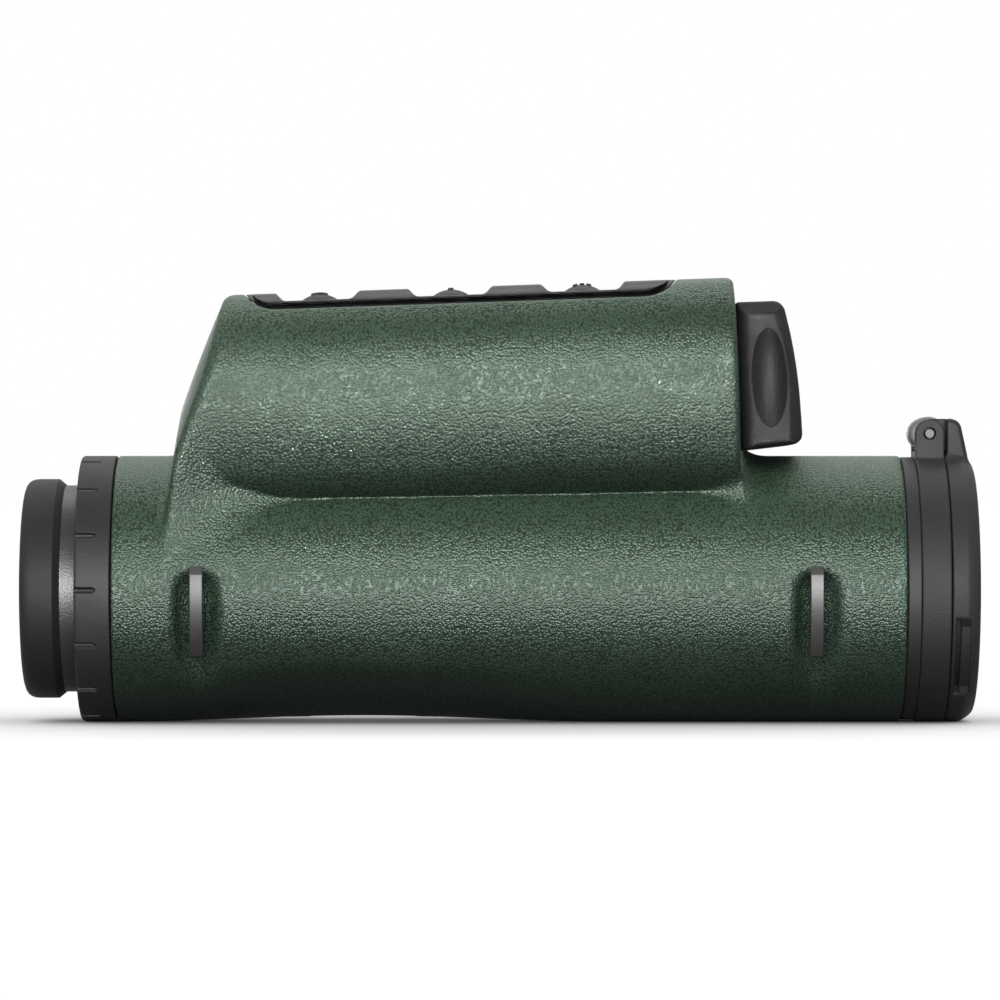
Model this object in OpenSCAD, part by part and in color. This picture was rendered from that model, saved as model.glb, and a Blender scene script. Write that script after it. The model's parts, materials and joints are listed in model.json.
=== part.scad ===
// Hand-held laser rangefinder monocular with an electronics module on top of the tube.
// X runs along the optical axis from the eyepiece to the objective, Z is up.
// The part stands with the underside of its tube on Z = 0, centred on X and Y.

/* [Body] */
// Diameter of the armoured tube
tube_d = 42.4; // [41.6:0.1:46]
// Length of the armoured body
body_l = 124.8; // [120:0.1:140]
// Thickness of the rubber armour on the tube
tube_armour_t = 3; // [2.8:0.1:3.2]
// Thickness of the rubber armour on the module
module_armour_t = 1.6; // [1.4:0.1:1.8]
// Thickness of the tube wall of the housing
housing_wall = 1.4; // [1.2:0.1:1.5]
// Depth of the finger hollows under the tube
hollow_depth = 2.4; // [1.5:0.1:2.6]
// Radius of the long curve of the finger hollows
hollow_r = 260; // [200:10:300]

/* [Upper module] */
// Height of the module's top above the tube
module_top = 26.95; // [26:0.05:33]
// Half of the module's width at its widest
module_half_w = 21.7; // [20:0.1:23]
// Radius of the module's sides under their widest line
module_side_r = 27; // [25:0.5:32]
// Height of the module's widest line above the tube
module_mid_z = 12.1; // [11:0.1:13]
// Angle over which the module's shoulders round off to its top, in degrees
shoulder_angle = 69.5; // [60:0.5:80]
// Thickness of the module's walls in the housing
module_wall = 1.5; // [1.2:0.1:1.8]
// Thickness of the module's floor above the tube
module_floor_t = 2; // [1.6:0.1:2.4]
// Slope of the module's top, rising to the front, in degrees
module_tilt = 2; // [1:0.1:2.5]
// Distance from the module's front face to the front of the armour
front_setback = 25.3; // [23:0.1:28]
// Distance from the rear of the armour to the module's top edge
rear_setback = 19.2; // [18:0.1:22]
// Lean of the module's rear face, in degrees
rear_lean = 21.8; // [18:0.1:24]
// Radius to which the module's rear face is bowed from side to side
rear_bow_r = 65; // [60:1:90]

/* [Top panel] */
// Height of the panel's side band and ribs
panel_h = 2.7; // [2.3:0.1:3]
// Distance from the rear top edge to the panel
panel_rear_setback = 3; // [2.5:0.1:4]
// Distance from the front top edge to the panel
panel_front_setback = 8.9; // [8:0.1:12]
// Length of the slope at the panel's rear end
panel_rear_ramp = 2.3; // [1.5:0.1:3]
// Length of the slope at the panel's front end
panel_front_ramp = 5.6; // [4:0.1:6]
// Length of each finger recess at the top
recess_l = 13.4; // [12:0.1:15]
// Length of the slope at each end of a recess
recess_ramp = 1.8; // [1:0.1:2.5]
// Depth of each finger recess
recess_depth = 1.5; // [0.9:0.1:1.7]
// Distance between neighbouring buttons
button_pitch = 21; // [19:0.1:22]
// Diameter of a button
button_d = 7; // [6:0.1:8]
// Height of a button's rim above its recess
button_rise = 0.5; // [0.1:0.1:0.6]
// Height of a button's dome
button_dome = 0.9; // [0.6:0.1:1]
// Height of the touch mark on a button
mark_h = 0.3; // [0.15:0.05:0.35]
// Travel of a button
button_travel = 0.6; // [0.4:0.05:0.7]
// Distance from the module's side to the opening under the panel
hatch_rim = 10.7; // [10.4:0.1:11]
// Thickness of the gasket under the panel
gasket_t = 0.5; // [0.4:0.1:0.8]

/* [Electronics] */
// Thickness of the circuit board
board_t = 1.2; // [0.8:0.1:1.6]
// Half of the circuit board's width
board_half_w = 10.6; // [10:0.1:10.8]
// Side of a tact switch
switch_w = 5; // [4:0.1:6]
// Height of a tact switch
switch_h = 1.4; // [1.3:0.1:1.6]
// Side of a chip under the board
chip_w = 7; // [5:0.1:8]
// Height of a chip
chip_h = 1.2; // [0.8:0.1:1.4]
// Distance between neighbouring chips
chip_pitch = 9; // [8.5:0.1:9.5]
// Distance from the board's rear edge to the first chip
chip_setback = 5; // [4.5:0.1:6]
// Width of the ribbon to the prism unit
ribbon_w = 7; // [5:0.1:9]
// Thickness of the ribbon
ribbon_t = 0.3; // [0.2:0.05:0.4]

/* [Battery] */
// Diameter of the cell
battery_d = 17; // [16:0.1:17.4]
// Length of the cell
battery_l = 34.5; // [30:0.1:36]
// Wall of the battery sleeve
battery_wall = 1.4; // [1.1:0.1:1.6]
// Length of the cap's plug
plug_l = 6.2; // [5:0.1:7]
// Length of the cap outside the module
cap_l = 10.2; // [9:0.1:12]
// Half of the cap's width
cap_half_w = 14; // [13:0.1:15.5]
// Height of the cap above the battery axis
cap_rise = 13.6; // [12:0.1:14.5]
// Depth of the cap below the battery axis
cap_drop = 10.1; // [9.4:0.1:10.3]
// Width of the bevel round the cap's sides
cap_bevel = 1.6; // [1:0.1:2]
// Length of the finger scoop in each side of the cap
scoop_l = 15.6; // [12:0.1:17]
// Width of the finger scoop
scoop_w = 5.2; // [4:0.1:6]
// Depth of the finger scoop
scoop_depth = 1; // [0.6:0.1:1.4]

/* [Strap bars] */
// Distance from the rear of the armour to the rear bars
strap_rear_setback = 13.4; // [12:0.1:15]
// Distance from the front of the armour to the front bars
strap_front_setback = 14.2; // [12:0.1:16]
// Angle of the bars' middle above the horizontal
strap_angle = -9.2; // [-15:0.1:0]
// Half of the angle that a bar spans
strap_half_angle = 20.1; // [18:0.1:24]
// Width of a bar
bar_w = 2.2; // [2:0.1:3]
// Thickness of a bar
bar_t = 1.2; // [1:0.1:1.4]
// Length of the pocket that a bar crosses
pocket_l = 7.6; // [7:0.1:9]

/* [Objective and cover] */
// Length of the bezel ring in front of the armour
bezel_l = 2.2; // [1.8:0.1:3]
// Wall of the bezel's collar
collar_wall = 2.8; // [2.6:0.1:3]
// Wall of the objective cell
cell_wall = 1.6; // [1.2:0.1:2]
// Thickness of the objective lens at its middle
objective_t = 7; // [6:0.1:8]
// Length of the cover's mounting ring
cover_ring_l = 4.7; // [4.4:0.1:6]
// Thickness of the cover
cover_t = 4.5; // [4:0.1:5.5]
// Thickness of the cover's front plate
cover_plate_t = 1.6; // [1.2:0.1:2]
// Height of the hinge pin above the top of the tube
hinge_rise = 3.5; // [3.3:0.1:4.5]
// Radius of the hinge pin
hinge_pin_r = 0.65; // [0.5:0.05:0.8]
// Half of the width across the hinge ears
hinge_half_w = 5.2; // [4.8:0.1:6]
// Half of the width of the cover's knuckle
knuckle_half_w = 3; // [2.5:0.1:3.2]
// Radius of the cover's knuckle
knuckle_r = 2.8; // [2.5:0.1:2.9]
// Depth of the grip steps in the cover's rim
grip_depth = 1.2; // [0.8:0.1:1.5]

/* [Focus] */
// Length of the focus ring
focus_ring_l = 5.6; // [5:0.1:7]
// Thickness of the focus ring's web
focus_web_t = 1.6; // [1.4:0.1:1.8]
// Number of grip notches on the focus ring
notch_count = 15; // [10:1:24]
// Length of a grip notch
notch_l = 3.4; // [2.5:0.1:4]
// Width of a grip notch
notch_w = 0.7; // [0.5:0.1:1]
// Depth of a grip notch
notch_depth = 0.5; // [0.4:0.1:0.8]
// Wall of the cam sleeve
cam_wall = 1.5; // [1.3:0.1:1.6]
// Turn of the focus ring to each side, in degrees
focus_turn = 50; // [40:1:55]
// Travel of the ocular to each side
ocular_travel = 2; // [1.5:0.1:2.2]
// Radius of the cam's follower pin
follower_r = 1; // [0.8:0.1:1.1]
// Distance from the rear of the armour to the follower pin
follower_setback = 9; // [8:0.1:10]

/* [Eyepiece] */
// Diameter of the eyecup
eyecup_d = 35; // [34.6:0.1:35.4]
// Length of the eyecup's rubber
eyecup_l = 6.4; // [6:0.1:7]
// Thickness of the eyecup's rubber on its sleeve
eyecup_t = 1; // [0.8:0.1:1.2]
// Length of bare sleeve between the eyecup and the focus ring
sleeve_show = 2.6; // [2.4:0.1:4]
// Wall of the eyecup's sleeve
sleeve_wall = 1.9; // [1.7:0.1:2]
// Travel of the eyecup as it is twisted out
eyecup_travel = 6; // [4:0.1:6]
// Twist of the eyecup over that travel, in degrees
eyecup_twist = 120; // [90:1:150]
// Radius of the pin that guides the eyecup
guide_pin_r = 0.8; // [0.6:0.1:0.8]
// Wall of the fixed eyepiece barrel
barrel_wall = 1.9; // [1.6:0.1:2]
// Wall of the sliding ocular cell
ocular_wall = 1.6; // [1.3:0.1:1.8]
// Length of the ocular cell
ocular_l = 22; // [21:0.1:23]
// Thickness of the eye lens and of the field lens
ocular_lens_t = 4.4; // [4:0.1:5]

/* [Prism unit] */
// Side of the square prism aperture
prism_side = 18; // [17:0.1:19]
// Length of the prism pair
prism_l = 24; // [22:0.1:26]
// Wall of the prism cage
cage_wall = 2; // [1.6:0.1:2.2]
// Radius of the laser emitter
emitter_r = 4; // [3.5:0.1:4.2]
// Radius of the receiver diode's can
receiver_r = 3.2; // [2.8:0.1:3.6]

/* [Hidden] */
$fn = 96;

// Fits and gaps
bond_gap = 0.1;
seat_gap = 0.05;
run_gap = 0.1;
move_gap = 0.15;
loose_gap = 0.3;
press_gap = 0.02;
past = 1;

// Stations along the optical axis, from the eyecup to the cover
rear_l = eyecup_l + sleeve_show + focus_ring_l + move_gap;
total_l = rear_l + body_l + bezel_l + cover_ring_l + move_gap + cover_t;
cup_x0 = -total_l / 2;
cup_x1 = cup_x0 + eyecup_l;
ring_x0 = cup_x1 + sleeve_show;
ring_x1 = ring_x0 + focus_ring_l;
body_x0 = ring_x1 + move_gap;
body_x1 = body_x0 + body_l;
bezel_x1 = body_x1 + bezel_l;
cover_ring_x1 = bezel_x1 + cover_ring_l;
cover_x0 = cover_ring_x1 + move_gap;
cover_x1 = cover_x0 + cover_t;

// Radii of the tube and its housing
tube_r = tube_d / 2;
housing_r = tube_r - tube_armour_t - bond_gap;
bore_r = housing_r - housing_wall;
seat_r = bore_r - seat_gap;

// Upper module, in its own tilted frame
module_front = body_x1 - front_setback;
module_rear = body_x0 + rear_setback;
top_z = tube_r + module_top;
mid_z = tube_r + module_mid_z;
base_drop = 13.2;
module_base_z = tube_r - base_drop;
shoulder_r = (top_z - mid_z) / sin(shoulder_angle);
housing_inset = module_armour_t + bond_gap;
cavity_inset = housing_inset + module_wall;
floor_z = housing_r + module_floor_t;
fairing_x0 = module_rear - (top_z - module_base_z) * tan(rear_lean) + 5;
fairing_l = 27;
fairing_rise = 8;
hollow_x = fairing_x0 + fairing_l + 4;
hollow_angle = 66.5;

// Top panel and buttons
panel_z0 = top_z - panel_h;
panel_x0 = module_rear + panel_rear_setback;
panel_x1 = module_front - panel_front_setback;
panel_floor_x0 = panel_x0 + panel_rear_ramp;
panel_floor_x1 = panel_x1 - panel_front_ramp;
panel_mid_x = (panel_floor_x0 + panel_floor_x1) / 2;
panel_ramp_r = (panel_front_ramp * panel_front_ramp + panel_h * panel_h) / (2 * panel_h);
panel_gap = 0.1;
hatch_half_w = module_half_w - hatch_rim;
recess_z = top_z - recess_depth;
button_r = button_d / 2;
button_hole_r = button_r + 0.2;
flange_r = button_r + 1;
flange_t = 0.7;
flange_z1 = panel_z0 - 0.2;
flange_z0 = flange_z1 - flange_t;
dome_z0 = recess_z + button_rise;
dome_r = (button_r * button_r + button_dome * button_dome) / (2 * button_dome);
stem_r = 1;

// Battery, its sleeve and its cap
battery_r = battery_d / 2;
sleeve_bore_r = battery_r + loose_gap;
sleeve_out_r = sleeve_bore_r + battery_wall;
battery_z = floor_z + loose_gap + sleeve_out_r;
cap_x0 = module_front + move_gap;
plug_x0 = cap_x0 - plug_l;
plug_r = sleeve_bore_r - 0.2;
cap_contact_l = 1.4;
battery_x1 = plug_x0 - cap_contact_l;
battery_x0 = battery_x1 - battery_l;
contact_t = 0.5;
sleeve_end_t = 1.2;
sleeve_x0 = battery_x0 - contact_t - sleeve_end_t;
sleeve_x1 = module_front - housing_inset;
rib_x0 = sleeve_x0 + 1;
rib_t = 2;
o_ring_r = 0.6;
o_ring_x = plug_x0 + plug_l / 2;
groove_r = sleeve_bore_r - 2 * o_ring_r - seat_gap;
rivet_r = 1.4;

// Circuit board
board_z0 = battery_z + sleeve_out_r + 0.5;
board_z1 = board_z0 + board_t;
board_x0 = module_rear + 3;
board_x1 = panel_floor_x1 + 2;
switch_z1 = board_z1 + switch_h;
rail_y = board_half_w - 2.2;
rail_h = 2;
screw_r = 0.6;
screw_head_r = 1;
screw_head_t = 0.6;
board_screw_y = board_half_w - 1.1;

// Strap bars
strap_rear_x = body_x0 + strap_rear_setback;
strap_front_x = body_x1 - strap_front_setback;
bar_r1 = tube_r - 0.2;
bar_r0 = bar_r1 - bar_t;
pocket_r = housing_r;
foot_angle = 4;
pocket_half_angle = strap_half_angle - 1.5;

// Objective and its cover
collar_r = tube_r - collar_wall;
hood_r = seat_r - cell_wall;
cell_x1 = body_x1 - 4;
cell_l = 14;
cell_x0 = cell_x1 - cell_l;
objective_r = hood_r - seat_gap;
objective_sag = 1.6;
objective_edge_t = objective_t - 2 * objective_sag;
objective_x0 = cell_x0 + 4;
objective_x1 = objective_x0 + objective_edge_t;
retainer_x0 = objective_x1 + 2 * loose_gap;
retainer_l = 2;
cover_ring_r = collar_r + seat_gap;
hinge_x = (bezel_x1 + cover_ring_x1) / 2;
hinge_z = tube_r + hinge_rise;
ear_r = (cover_ring_l - seat_gap) / 2;
ear_y = knuckle_half_w + move_gap;
tab_rise = 2.4;
tab_x1 = cover_x1 - 2.1;
plug_ring_r1 = cover_ring_r - loose_gap;
plug_ring_r0 = plug_ring_r1 - 1.2;
plug_ring_l = 1.4;
rim_bevel = 1.4;
grip_angle0 = -50;
grip_angle1 = -9;
grip_l = 2.2;

// Eyepiece and focus
eyecup_r = eyecup_d / 2;
sleeve_r = eyecup_r - eyecup_t;
sleeve_bore = sleeve_r - sleeve_wall;
barrel_rear_r = sleeve_bore - run_gap;
lip_overlap = 0.3;
cam_flange_r = bore_r - move_gap;
lip_r = cam_flange_r - lip_overlap;
cam_r = lip_r - move_gap;
cam_bore = cam_r - cam_wall;
barrel_front_r = cam_bore - run_gap;
barrel_bore = min(barrel_front_r, barrel_rear_r) - barrel_wall;
ocular_r = barrel_bore - run_gap;
ocular_bore = ocular_r - ocular_wall;
lip_t = 1.2;
cup_round = 2.2;
cup_mouth_r = sleeve_bore - 1.2;
eyecup_sleeve_x0 = cup_x0 + lip_t;
web_x0 = ring_x1 - focus_web_t;
eyecup_sleeve_x1 = web_x0 - loose_gap;
glide_l = 1.3;
glide_wall = 0.9;
glide_x0 = eyecup_sleeve_x1 - glide_l;
guide_groove_r = guide_pin_r + 0.15;
guide_depth = 0.9;
guide_x = glide_x0 - eyecup_travel - guide_groove_r - 0.5;
barrel_x0 = guide_x - 2.2;
barrel_step_x = web_x0 - move_gap;
rear_lip_l = 1.2;
cam_flange_x0 = body_x0 + rear_lip_l + move_gap;
cam_flange_l = 1.2;
follower_x = body_x0 + follower_setback;
slot_r = follower_r + 0.15;
cam_x1 = follower_x + ocular_travel + slot_r + 2;
barrel_flange_x0 = cam_x1 + loose_gap;
barrel_flange_l = 2.5;
barrel_flange_x1 = barrel_flange_x0 + barrel_flange_l;
ocular_x1 = follower_x + 4;
ocular_x0 = ocular_x1 - ocular_l;
lens_sag = 1.2;
lens_edge_t = ocular_lens_t - 2 * lens_sag;
key_w = 1.5;
key_depth = 0.5;
focus_screw_y = (cam_bore + cam_r) / 2;
focus_screw_r = 0.4;
focus_head_r = 0.6;
focus_screw_l = 3.4;

// Prism unit
cage_x0 = barrel_flange_x1 + seat_gap;
cage_flange_l = 2.4;
prism_x0 = cage_x0 + cage_flange_l + seat_gap;
prism_half = prism_side / 2;
cage_half_w = prism_half + seat_gap + cage_wall;
cage_top_z = prism_half + seat_gap + cage_wall;
air_gap = 0.15;
display_l = 4;
neck_half_w = 6.5;
neck_x0 = prism_x0;
neck_x1 = prism_x0 + prism_l;
display_x = prism_x0 + display_l / 2 + 0.5;
emitter_x = display_x + display_l / 2 + emitter_r + 1.4;
receiver_x = emitter_x + emitter_r + receiver_r + 1.6;
emitter_h = 7.5;
receiver_h = 6;
display_h = 2.2;
cage_screw_y = seat_r - screw_head_r - 0.6;
baffle_x = (neck_x1 + cell_x0) / 2;

// Helpers

// Solid cylinder along X
module x_cyl(r, x0, x1) {
    translate([x0, 0, 0]) rotate([0, 90, 0]) cylinder(r = r, h = x1 - x0);
}

// Ring along X
module x_ring(r1, r0, x0, x1) {
    difference() {
        x_cyl(r1, x0, x1);
        x_cyl(r0, x0 - past, x1 + past);
    }
}

// Turned solid about X from points given as [x, radius]
module x_lathe(points) {
    rotate([0, 90, 0]) rotate_extrude() polygon([for (p = points) [p[1], p[0]]]);
}

// Solid along Y with a side outline in X and Z
module side_extrude(half_w) {
    rotate([90, 0, 0]) linear_extrude(2 * half_w, center = true) children();
}

// Wedge about X between two angles, measured from +Y towards +Z
module x_wedge(a0, a1, x0, x1) {
    reach = 3 * tube_r;
    mid = (a0 + a1) / 2;
    translate([x0, 0, 0]) rotate([90, 0, 90]) linear_extrude(x1 - x0)
        polygon([[0, 0], for (a = [a0, mid, a1]) reach * [cos(a), sin(a)]]);
}

// Ring piece between two angles
module x_sector(r1, r0, x0, x1, a0, a1) {
    intersection() {
        x_ring(r1, r0, x0, x1);
        x_wedge(a0, a1, x0 - past, x1 + past);
    }
}

// Pin along Y, centred on the middle plane
module y_pin(r, half_l, x, z) {
    translate([x, half_l, z]) rotate([90, 0, 0]) cylinder(r = r, h = 2 * half_l);
}

// Radial pin or hole at an angle about X
module radial(r, r0, r1, x, angle) {
    rotate([angle - 90, 0, 0]) translate([x, 0, r0]) cylinder(r = r, h = r1 - r0);
}

// Biconvex lens along X with equal faces
module lens(r, edge_t, sag, x0) {
    steps = 8;
    face_r = (r * r + sag * sag) / (2 * sag);
    rise = [for (i = [0:steps]) sag - face_r + sqrt(face_r * face_r - pow(r * i / steps, 2))];
    x_lathe(concat(
        [for (i = [0:steps]) [x0 - rise[i], r * i / steps]],
        [for (i = [steps:-1:0]) [x0 + edge_t + rise[i], r * i / steps]]
    ));
}

// Points of an arc in the plane
function arc(centre, r, a0, a1, steps = 6) =
    [for (i = [0:steps]) centre + r * [cos(a0 + (a1 - a0) * i / steps), sin(a0 + (a1 - a0) * i / steps)]];

// Frame of the upper module, tilted about the optical axis
module tilted() {
    rotate([0, -module_tilt, 0]) children();
}

// Cross section of the upper module, grown by g
module module_section(g) {
    lower_y = module_side_r - module_half_w;
    upper_y = module_half_w - shoulder_r;
    reach = 4 * module_half_w;
    intersection() {
        translate([-lower_y, mid_z]) circle(r = module_side_r + g);
        translate([lower_y, mid_z]) circle(r = module_side_r + g);
        translate([-reach / 2, module_base_z]) square([reach, mid_z - module_base_z]);
    }
    intersection() {
        union() {
            for (side = [-1, 1])
                translate([side * upper_y, mid_z]) circle(r = shoulder_r + g);
            translate([-upper_y, mid_z]) square([2 * upper_y, shoulder_r + g]);
        }
        translate([-reach / 2, mid_z]) square([reach, top_z + g - mid_z]);
    }
}

// Foot of the sloping rear face at a height, moved in by a distance
function rear_x(z, inset) = module_rear - (top_z - z) * tan(rear_lean) + inset / cos(rear_lean);

// Round of the sloping rear face from side to side, moved in by a distance
module rear_bow(inset) {
    translate([module_rear, 0, top_z]) rotate([0, rear_lean, 0])
        translate([rear_bow_r, 0, -2 * top_z]) cylinder(r = rear_bow_r - inset, h = 4 * top_z, $fn = 240);
}

// Upper module as a block, moved in on every side by a distance
module module_block(inset) {
    top = top_z - inset;
    front = module_front - inset;
    intersection() {
        translate([module_rear - top_z, 0, 0]) rotate([90, 0, 90])
            linear_extrude(module_front - module_rear + top_z) module_section(-inset);
        side_extrude(2 * module_half_w)
            polygon([[rear_x(module_base_z, inset), module_base_z], [rear_x(top, inset), top],
                     [front, top], [front, module_base_z]]);
        rear_bow(inset);
    }
}

// Space of the top panel, lowered and widened by a gap, with a curved slope at its front
module panel_space(gap) {
    side_extrude(2 * module_half_w)
        polygon(concat(
            [[panel_x0 - gap, top_z + past], [panel_x0 - gap, top_z],
             [panel_floor_x0 - gap, panel_z0 - gap]],
            arc([panel_floor_x1 + gap, panel_z0 - gap + panel_ramp_r], panel_ramp_r, 270,
                270 + asin(panel_front_ramp / panel_ramp_r)),
            [[panel_x1 + gap, top_z + past]]
        ));
}

// Pockets of the strap bars through the tube's armour, on both sides
module strap_pockets() {
    for (x = [strap_rear_x, strap_front_x])
        for (mirrored = [0, 1])
            mirror([0, mirrored, 0]) {
                x_sector(tube_r + past, pocket_r, x - pocket_l / 2, x + pocket_l / 2,
                         strap_angle - pocket_half_angle, strap_angle + pocket_half_angle);
                x_sector(tube_r + past, pocket_r, x - bar_w / 2 - seat_gap, x + bar_w / 2 + seat_gap,
                         strap_angle - strap_half_angle - 0.3, strap_angle + strap_half_angle + 0.3);
            }
}

// Fairing that widens the tube under the rear of the module and ends at the module's rear face
module fairing() {
    intersection() {
        hull() {
            x_cyl(tube_r, fairing_x0 + fairing_l, fairing_x0 + fairing_l + past);
            translate([0, 0, fairing_rise]) x_cyl(tube_r, fairing_x0, fairing_x0 + past);
            x_cyl(tube_r - past, fairing_x0, fairing_x0 + past);
        }
        tilted() rear_bow(0);
    }
}

// Long shallow hollows for the fingers, low on both sides of the tube
module finger_hollows() {
    for (mirrored = [0, 1])
        mirror([0, mirrored, 0])
            rotate([90 - hollow_angle, 0, 0])
                translate([hollow_x, -tube_r, -(tube_r - hollow_depth + hollow_r)])
                    rotate([-90, 0, 0]) cylinder(r = hollow_r, h = 2 * tube_r, $fn = 720);
}

// Shells

module armour() {
    color("darkolivegreen") difference() {
        union() {
            x_cyl(tube_r, body_x0, body_x1);
            tilted() module_block(0);
            fairing();
        }
        x_cyl(housing_r + bond_gap, body_x0 - past, body_x1 + past);
        tilted() module_block(module_armour_t);
        tilted() panel_space(panel_gap);
        tilted() translate([0, 0, battery_z])
            x_cyl(sleeve_bore_r + loose_gap, sleeve_x1 - past, module_front + past);
        strap_pockets();
        finger_hollows();
    }
}

module main_housing() {
    color("dimgray") difference() {
        union() {
            x_cyl(housing_r, body_x0, body_x1);
            tilted() difference() {
                module_block(housing_inset);
                panel_space(gasket_t);
            }
        }
        x_cyl(lip_r, body_x0 - past, body_x1 + past);
        x_cyl(bore_r, body_x0 + rear_lip_l, body_x1 + past);
        tilted() difference() {
            cavity();
            board_rails();
            sleeve_rib();
        }
        tilted() translate([0, 0, battery_z])
            x_cyl(sleeve_out_r + seat_gap, rib_x0 - past, module_front + past);
        translate([neck_x0, -neck_half_w, 0])
            cube([neck_x1 - neck_x0, 2 * neck_half_w, floor_z + past]);
        tilted() translate([panel_floor_x0 + module_wall, -hatch_half_w, board_z1])
            cube([panel_floor_x1 - panel_floor_x0 - 2 * module_wall, 2 * hatch_half_w, top_z - board_z1]);
        tilted() board_screw_places() translate([0, 0, board_z0 - rail_h - past])
            cylinder(r = screw_r + press_gap, h = rail_h + 2 * past);
    }
}

// Hollow of the module above its floor
module cavity() {
    intersection() {
        module_block(cavity_inset);
        translate([module_rear - top_z, -module_half_w, floor_z])
            cube([2 * body_l, 2 * module_half_w, top_z]);
    }
}

// Rails along both walls that carry the circuit board
module board_rails() {
    for (side = [-1, 1])
        translate([board_x0, side > 0 ? rail_y : -module_half_w, board_z0 - rail_h])
            cube([board_x1 - board_x0, module_half_w - rail_y, rail_h]);
}

// Wall across the module that carries the rear of the battery sleeve
module sleeve_rib() {
    translate([rib_x0, -module_half_w, floor_z - past])
        cube([rib_t, 2 * module_half_w, battery_z + sleeve_out_r / 2 - floor_z + past]);
}

module top_panel() {
    color("black") tilted() difference() {
        intersection() {
            module_block(0);
            panel_space(0);
        }
        for (i = [-1, 0, 1]) {
            x = panel_mid_x + i * button_pitch;
            side_extrude(2 * module_half_w)
                polygon([[x - recess_l / 2, top_z], [x - recess_l / 2 + recess_ramp, recess_z],
                         [x + recess_l / 2 - recess_ramp, recess_z], [x + recess_l / 2, top_z],
                         [x + recess_l / 2, top_z + past], [x - recess_l / 2, top_z + past]]);
            translate([x, 0, panel_z0 - past]) cylinder(r = button_hole_r, h = panel_h + 2 * past);
        }
    }
}

module panel_gasket() {
    color("black") tilted() difference() {
        intersection() {
            module_block(housing_inset);
            translate([panel_floor_x0, -module_half_w, panel_z0 - gasket_t + seat_gap])
                cube([panel_floor_x1 - panel_floor_x0, 2 * module_half_w, gasket_t - 2 * seat_gap]);
        }
        translate([panel_floor_x0 + module_wall, -hatch_half_w, panel_z0 - past])
            cube([panel_floor_x1 - panel_floor_x0 - 2 * module_wall, 2 * hatch_half_w, 2 * past]);
    }
}

// Buttons

// Button at a place along the panel, with its touch mark as a child
module button(place) {
    color("black") tilted() translate([panel_mid_x + place * button_pitch, 0, 0]) {
        translate([0, 0, switch_z1 - 0.3]) cylinder(r = stem_r, h = flange_z0 - switch_z1 + 0.4);
        translate([0, 0, flange_z0]) cylinder(r = flange_r, h = flange_t);
        translate([0, 0, flange_z0]) cylinder(r = button_r, h = dome_z0 - flange_z0);
        intersection() {
            translate([0, 0, dome_z0 - 0.1]) cylinder(r = button_r, h = 2 * button_dome);
            translate([0, 0, dome_z0 + button_dome - dome_r]) sphere(r = dome_r);
        }
        translate([0, 0, dome_z0 + button_dome / 2]) children();
    }
}

mark_z = mark_h + button_dome / 2;

module button_rear() {
    bar_l = 2.8;
    button(-1) translate([-bar_l / 2, -0.4, 0]) cube([bar_l, 0.8, mark_z]);
}

module button_middle() {
    button(0) cylinder(r = 0.4, h = mark_z);
}

module button_front() {
    button(1) for (i = [-1, 0, 1]) translate([i * 1.1, 0, 0]) cylinder(r = 0.4, h = mark_z);
}

// Electronics

module tact_switches() {
    color("silver") tilted() for (i = [-1, 0, 1])
        translate([panel_mid_x + i * button_pitch, 0, board_z1]) difference() {
            translate([-switch_w / 2, -switch_w / 2, seat_gap])
                cube([switch_w, switch_w, switch_h - seat_gap]);
            translate([0, 0, switch_h - 0.3 - button_travel - 0.2])
                cylinder(r = stem_r + 0.2, h = switch_h);
        }
}

// Places of the circuit board's screws
module board_screw_places() {
    for (x = [board_x0 + 3, board_x1 - 3])
        for (y = [-board_screw_y, board_screw_y])
            translate([x, y, 0]) children();
}

module circuit_board() {
    color("darkgreen") tilted() difference() {
        translate([board_x0, -board_half_w, board_z0 + seat_gap])
            cube([board_x1 - board_x0, 2 * board_half_w, board_t - seat_gap]);
        board_screw_places() translate([0, 0, board_z0 - past])
            cylinder(r = screw_r + run_gap, h = board_t + 2 * past);
    }
}

module board_chips() {
    color("black") tilted() for (i = [0:2])
        translate([board_x0 + chip_setback + i * chip_pitch, -chip_w / 2, board_z0 - chip_h])
            cube([chip_w, chip_w, chip_h]);
}

module board_screws() {
    color("silver") tilted() board_screw_places() {
        translate([0, 0, board_z0 - rail_h]) cylinder(r = screw_r, h = rail_h + board_t + seat_gap + 0.1);
        translate([0, 0, board_z1 + seat_gap]) cylinder(r = screw_head_r, h = screw_head_t);
    }
}

// Ribbon from the circuit board down through the neck to the display
module ribbon_cable() {
    foot_l = 3;
    low_z = cage_top_z + display_h + seat_gap;
    foot_x = display_x * cos(module_tilt) + low_z * sin(module_tilt);
    foot_z = low_z * cos(module_tilt) - display_x * sin(module_tilt) + 0.1;
    color("goldenrod") tilted() {
        translate([foot_x - ribbon_t / 2, -ribbon_w / 2, foot_z])
            cube([ribbon_t, ribbon_w, board_z0 - foot_z]);
        translate([foot_x - ribbon_t / 2, -ribbon_w / 2, board_z0 - ribbon_t])
            cube([foot_l, ribbon_w, ribbon_t]);
    }
}

// Battery compartment

module battery() {
    tip_r = 3.2;
    tip_l = 0.9;
    color("slategray") tilted() translate([0, 0, battery_z]) {
        x_cyl(battery_r, battery_x0 + seat_gap, battery_x1 - tip_l);
        x_cyl(tip_r, battery_x1 - tip_l - seat_gap, battery_x1 - seat_gap);
    }
}

module battery_sleeve() {
    color("black") tilted() translate([0, 0, battery_z]) difference() {
        x_cyl(sleeve_out_r, sleeve_x0, sleeve_x1);
        x_cyl(sleeve_bore_r, sleeve_x0 + sleeve_end_t, sleeve_x1 + past);
        x_cyl(rivet_r + press_gap, sleeve_x0 - past, sleeve_x1);
    }
}

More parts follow.
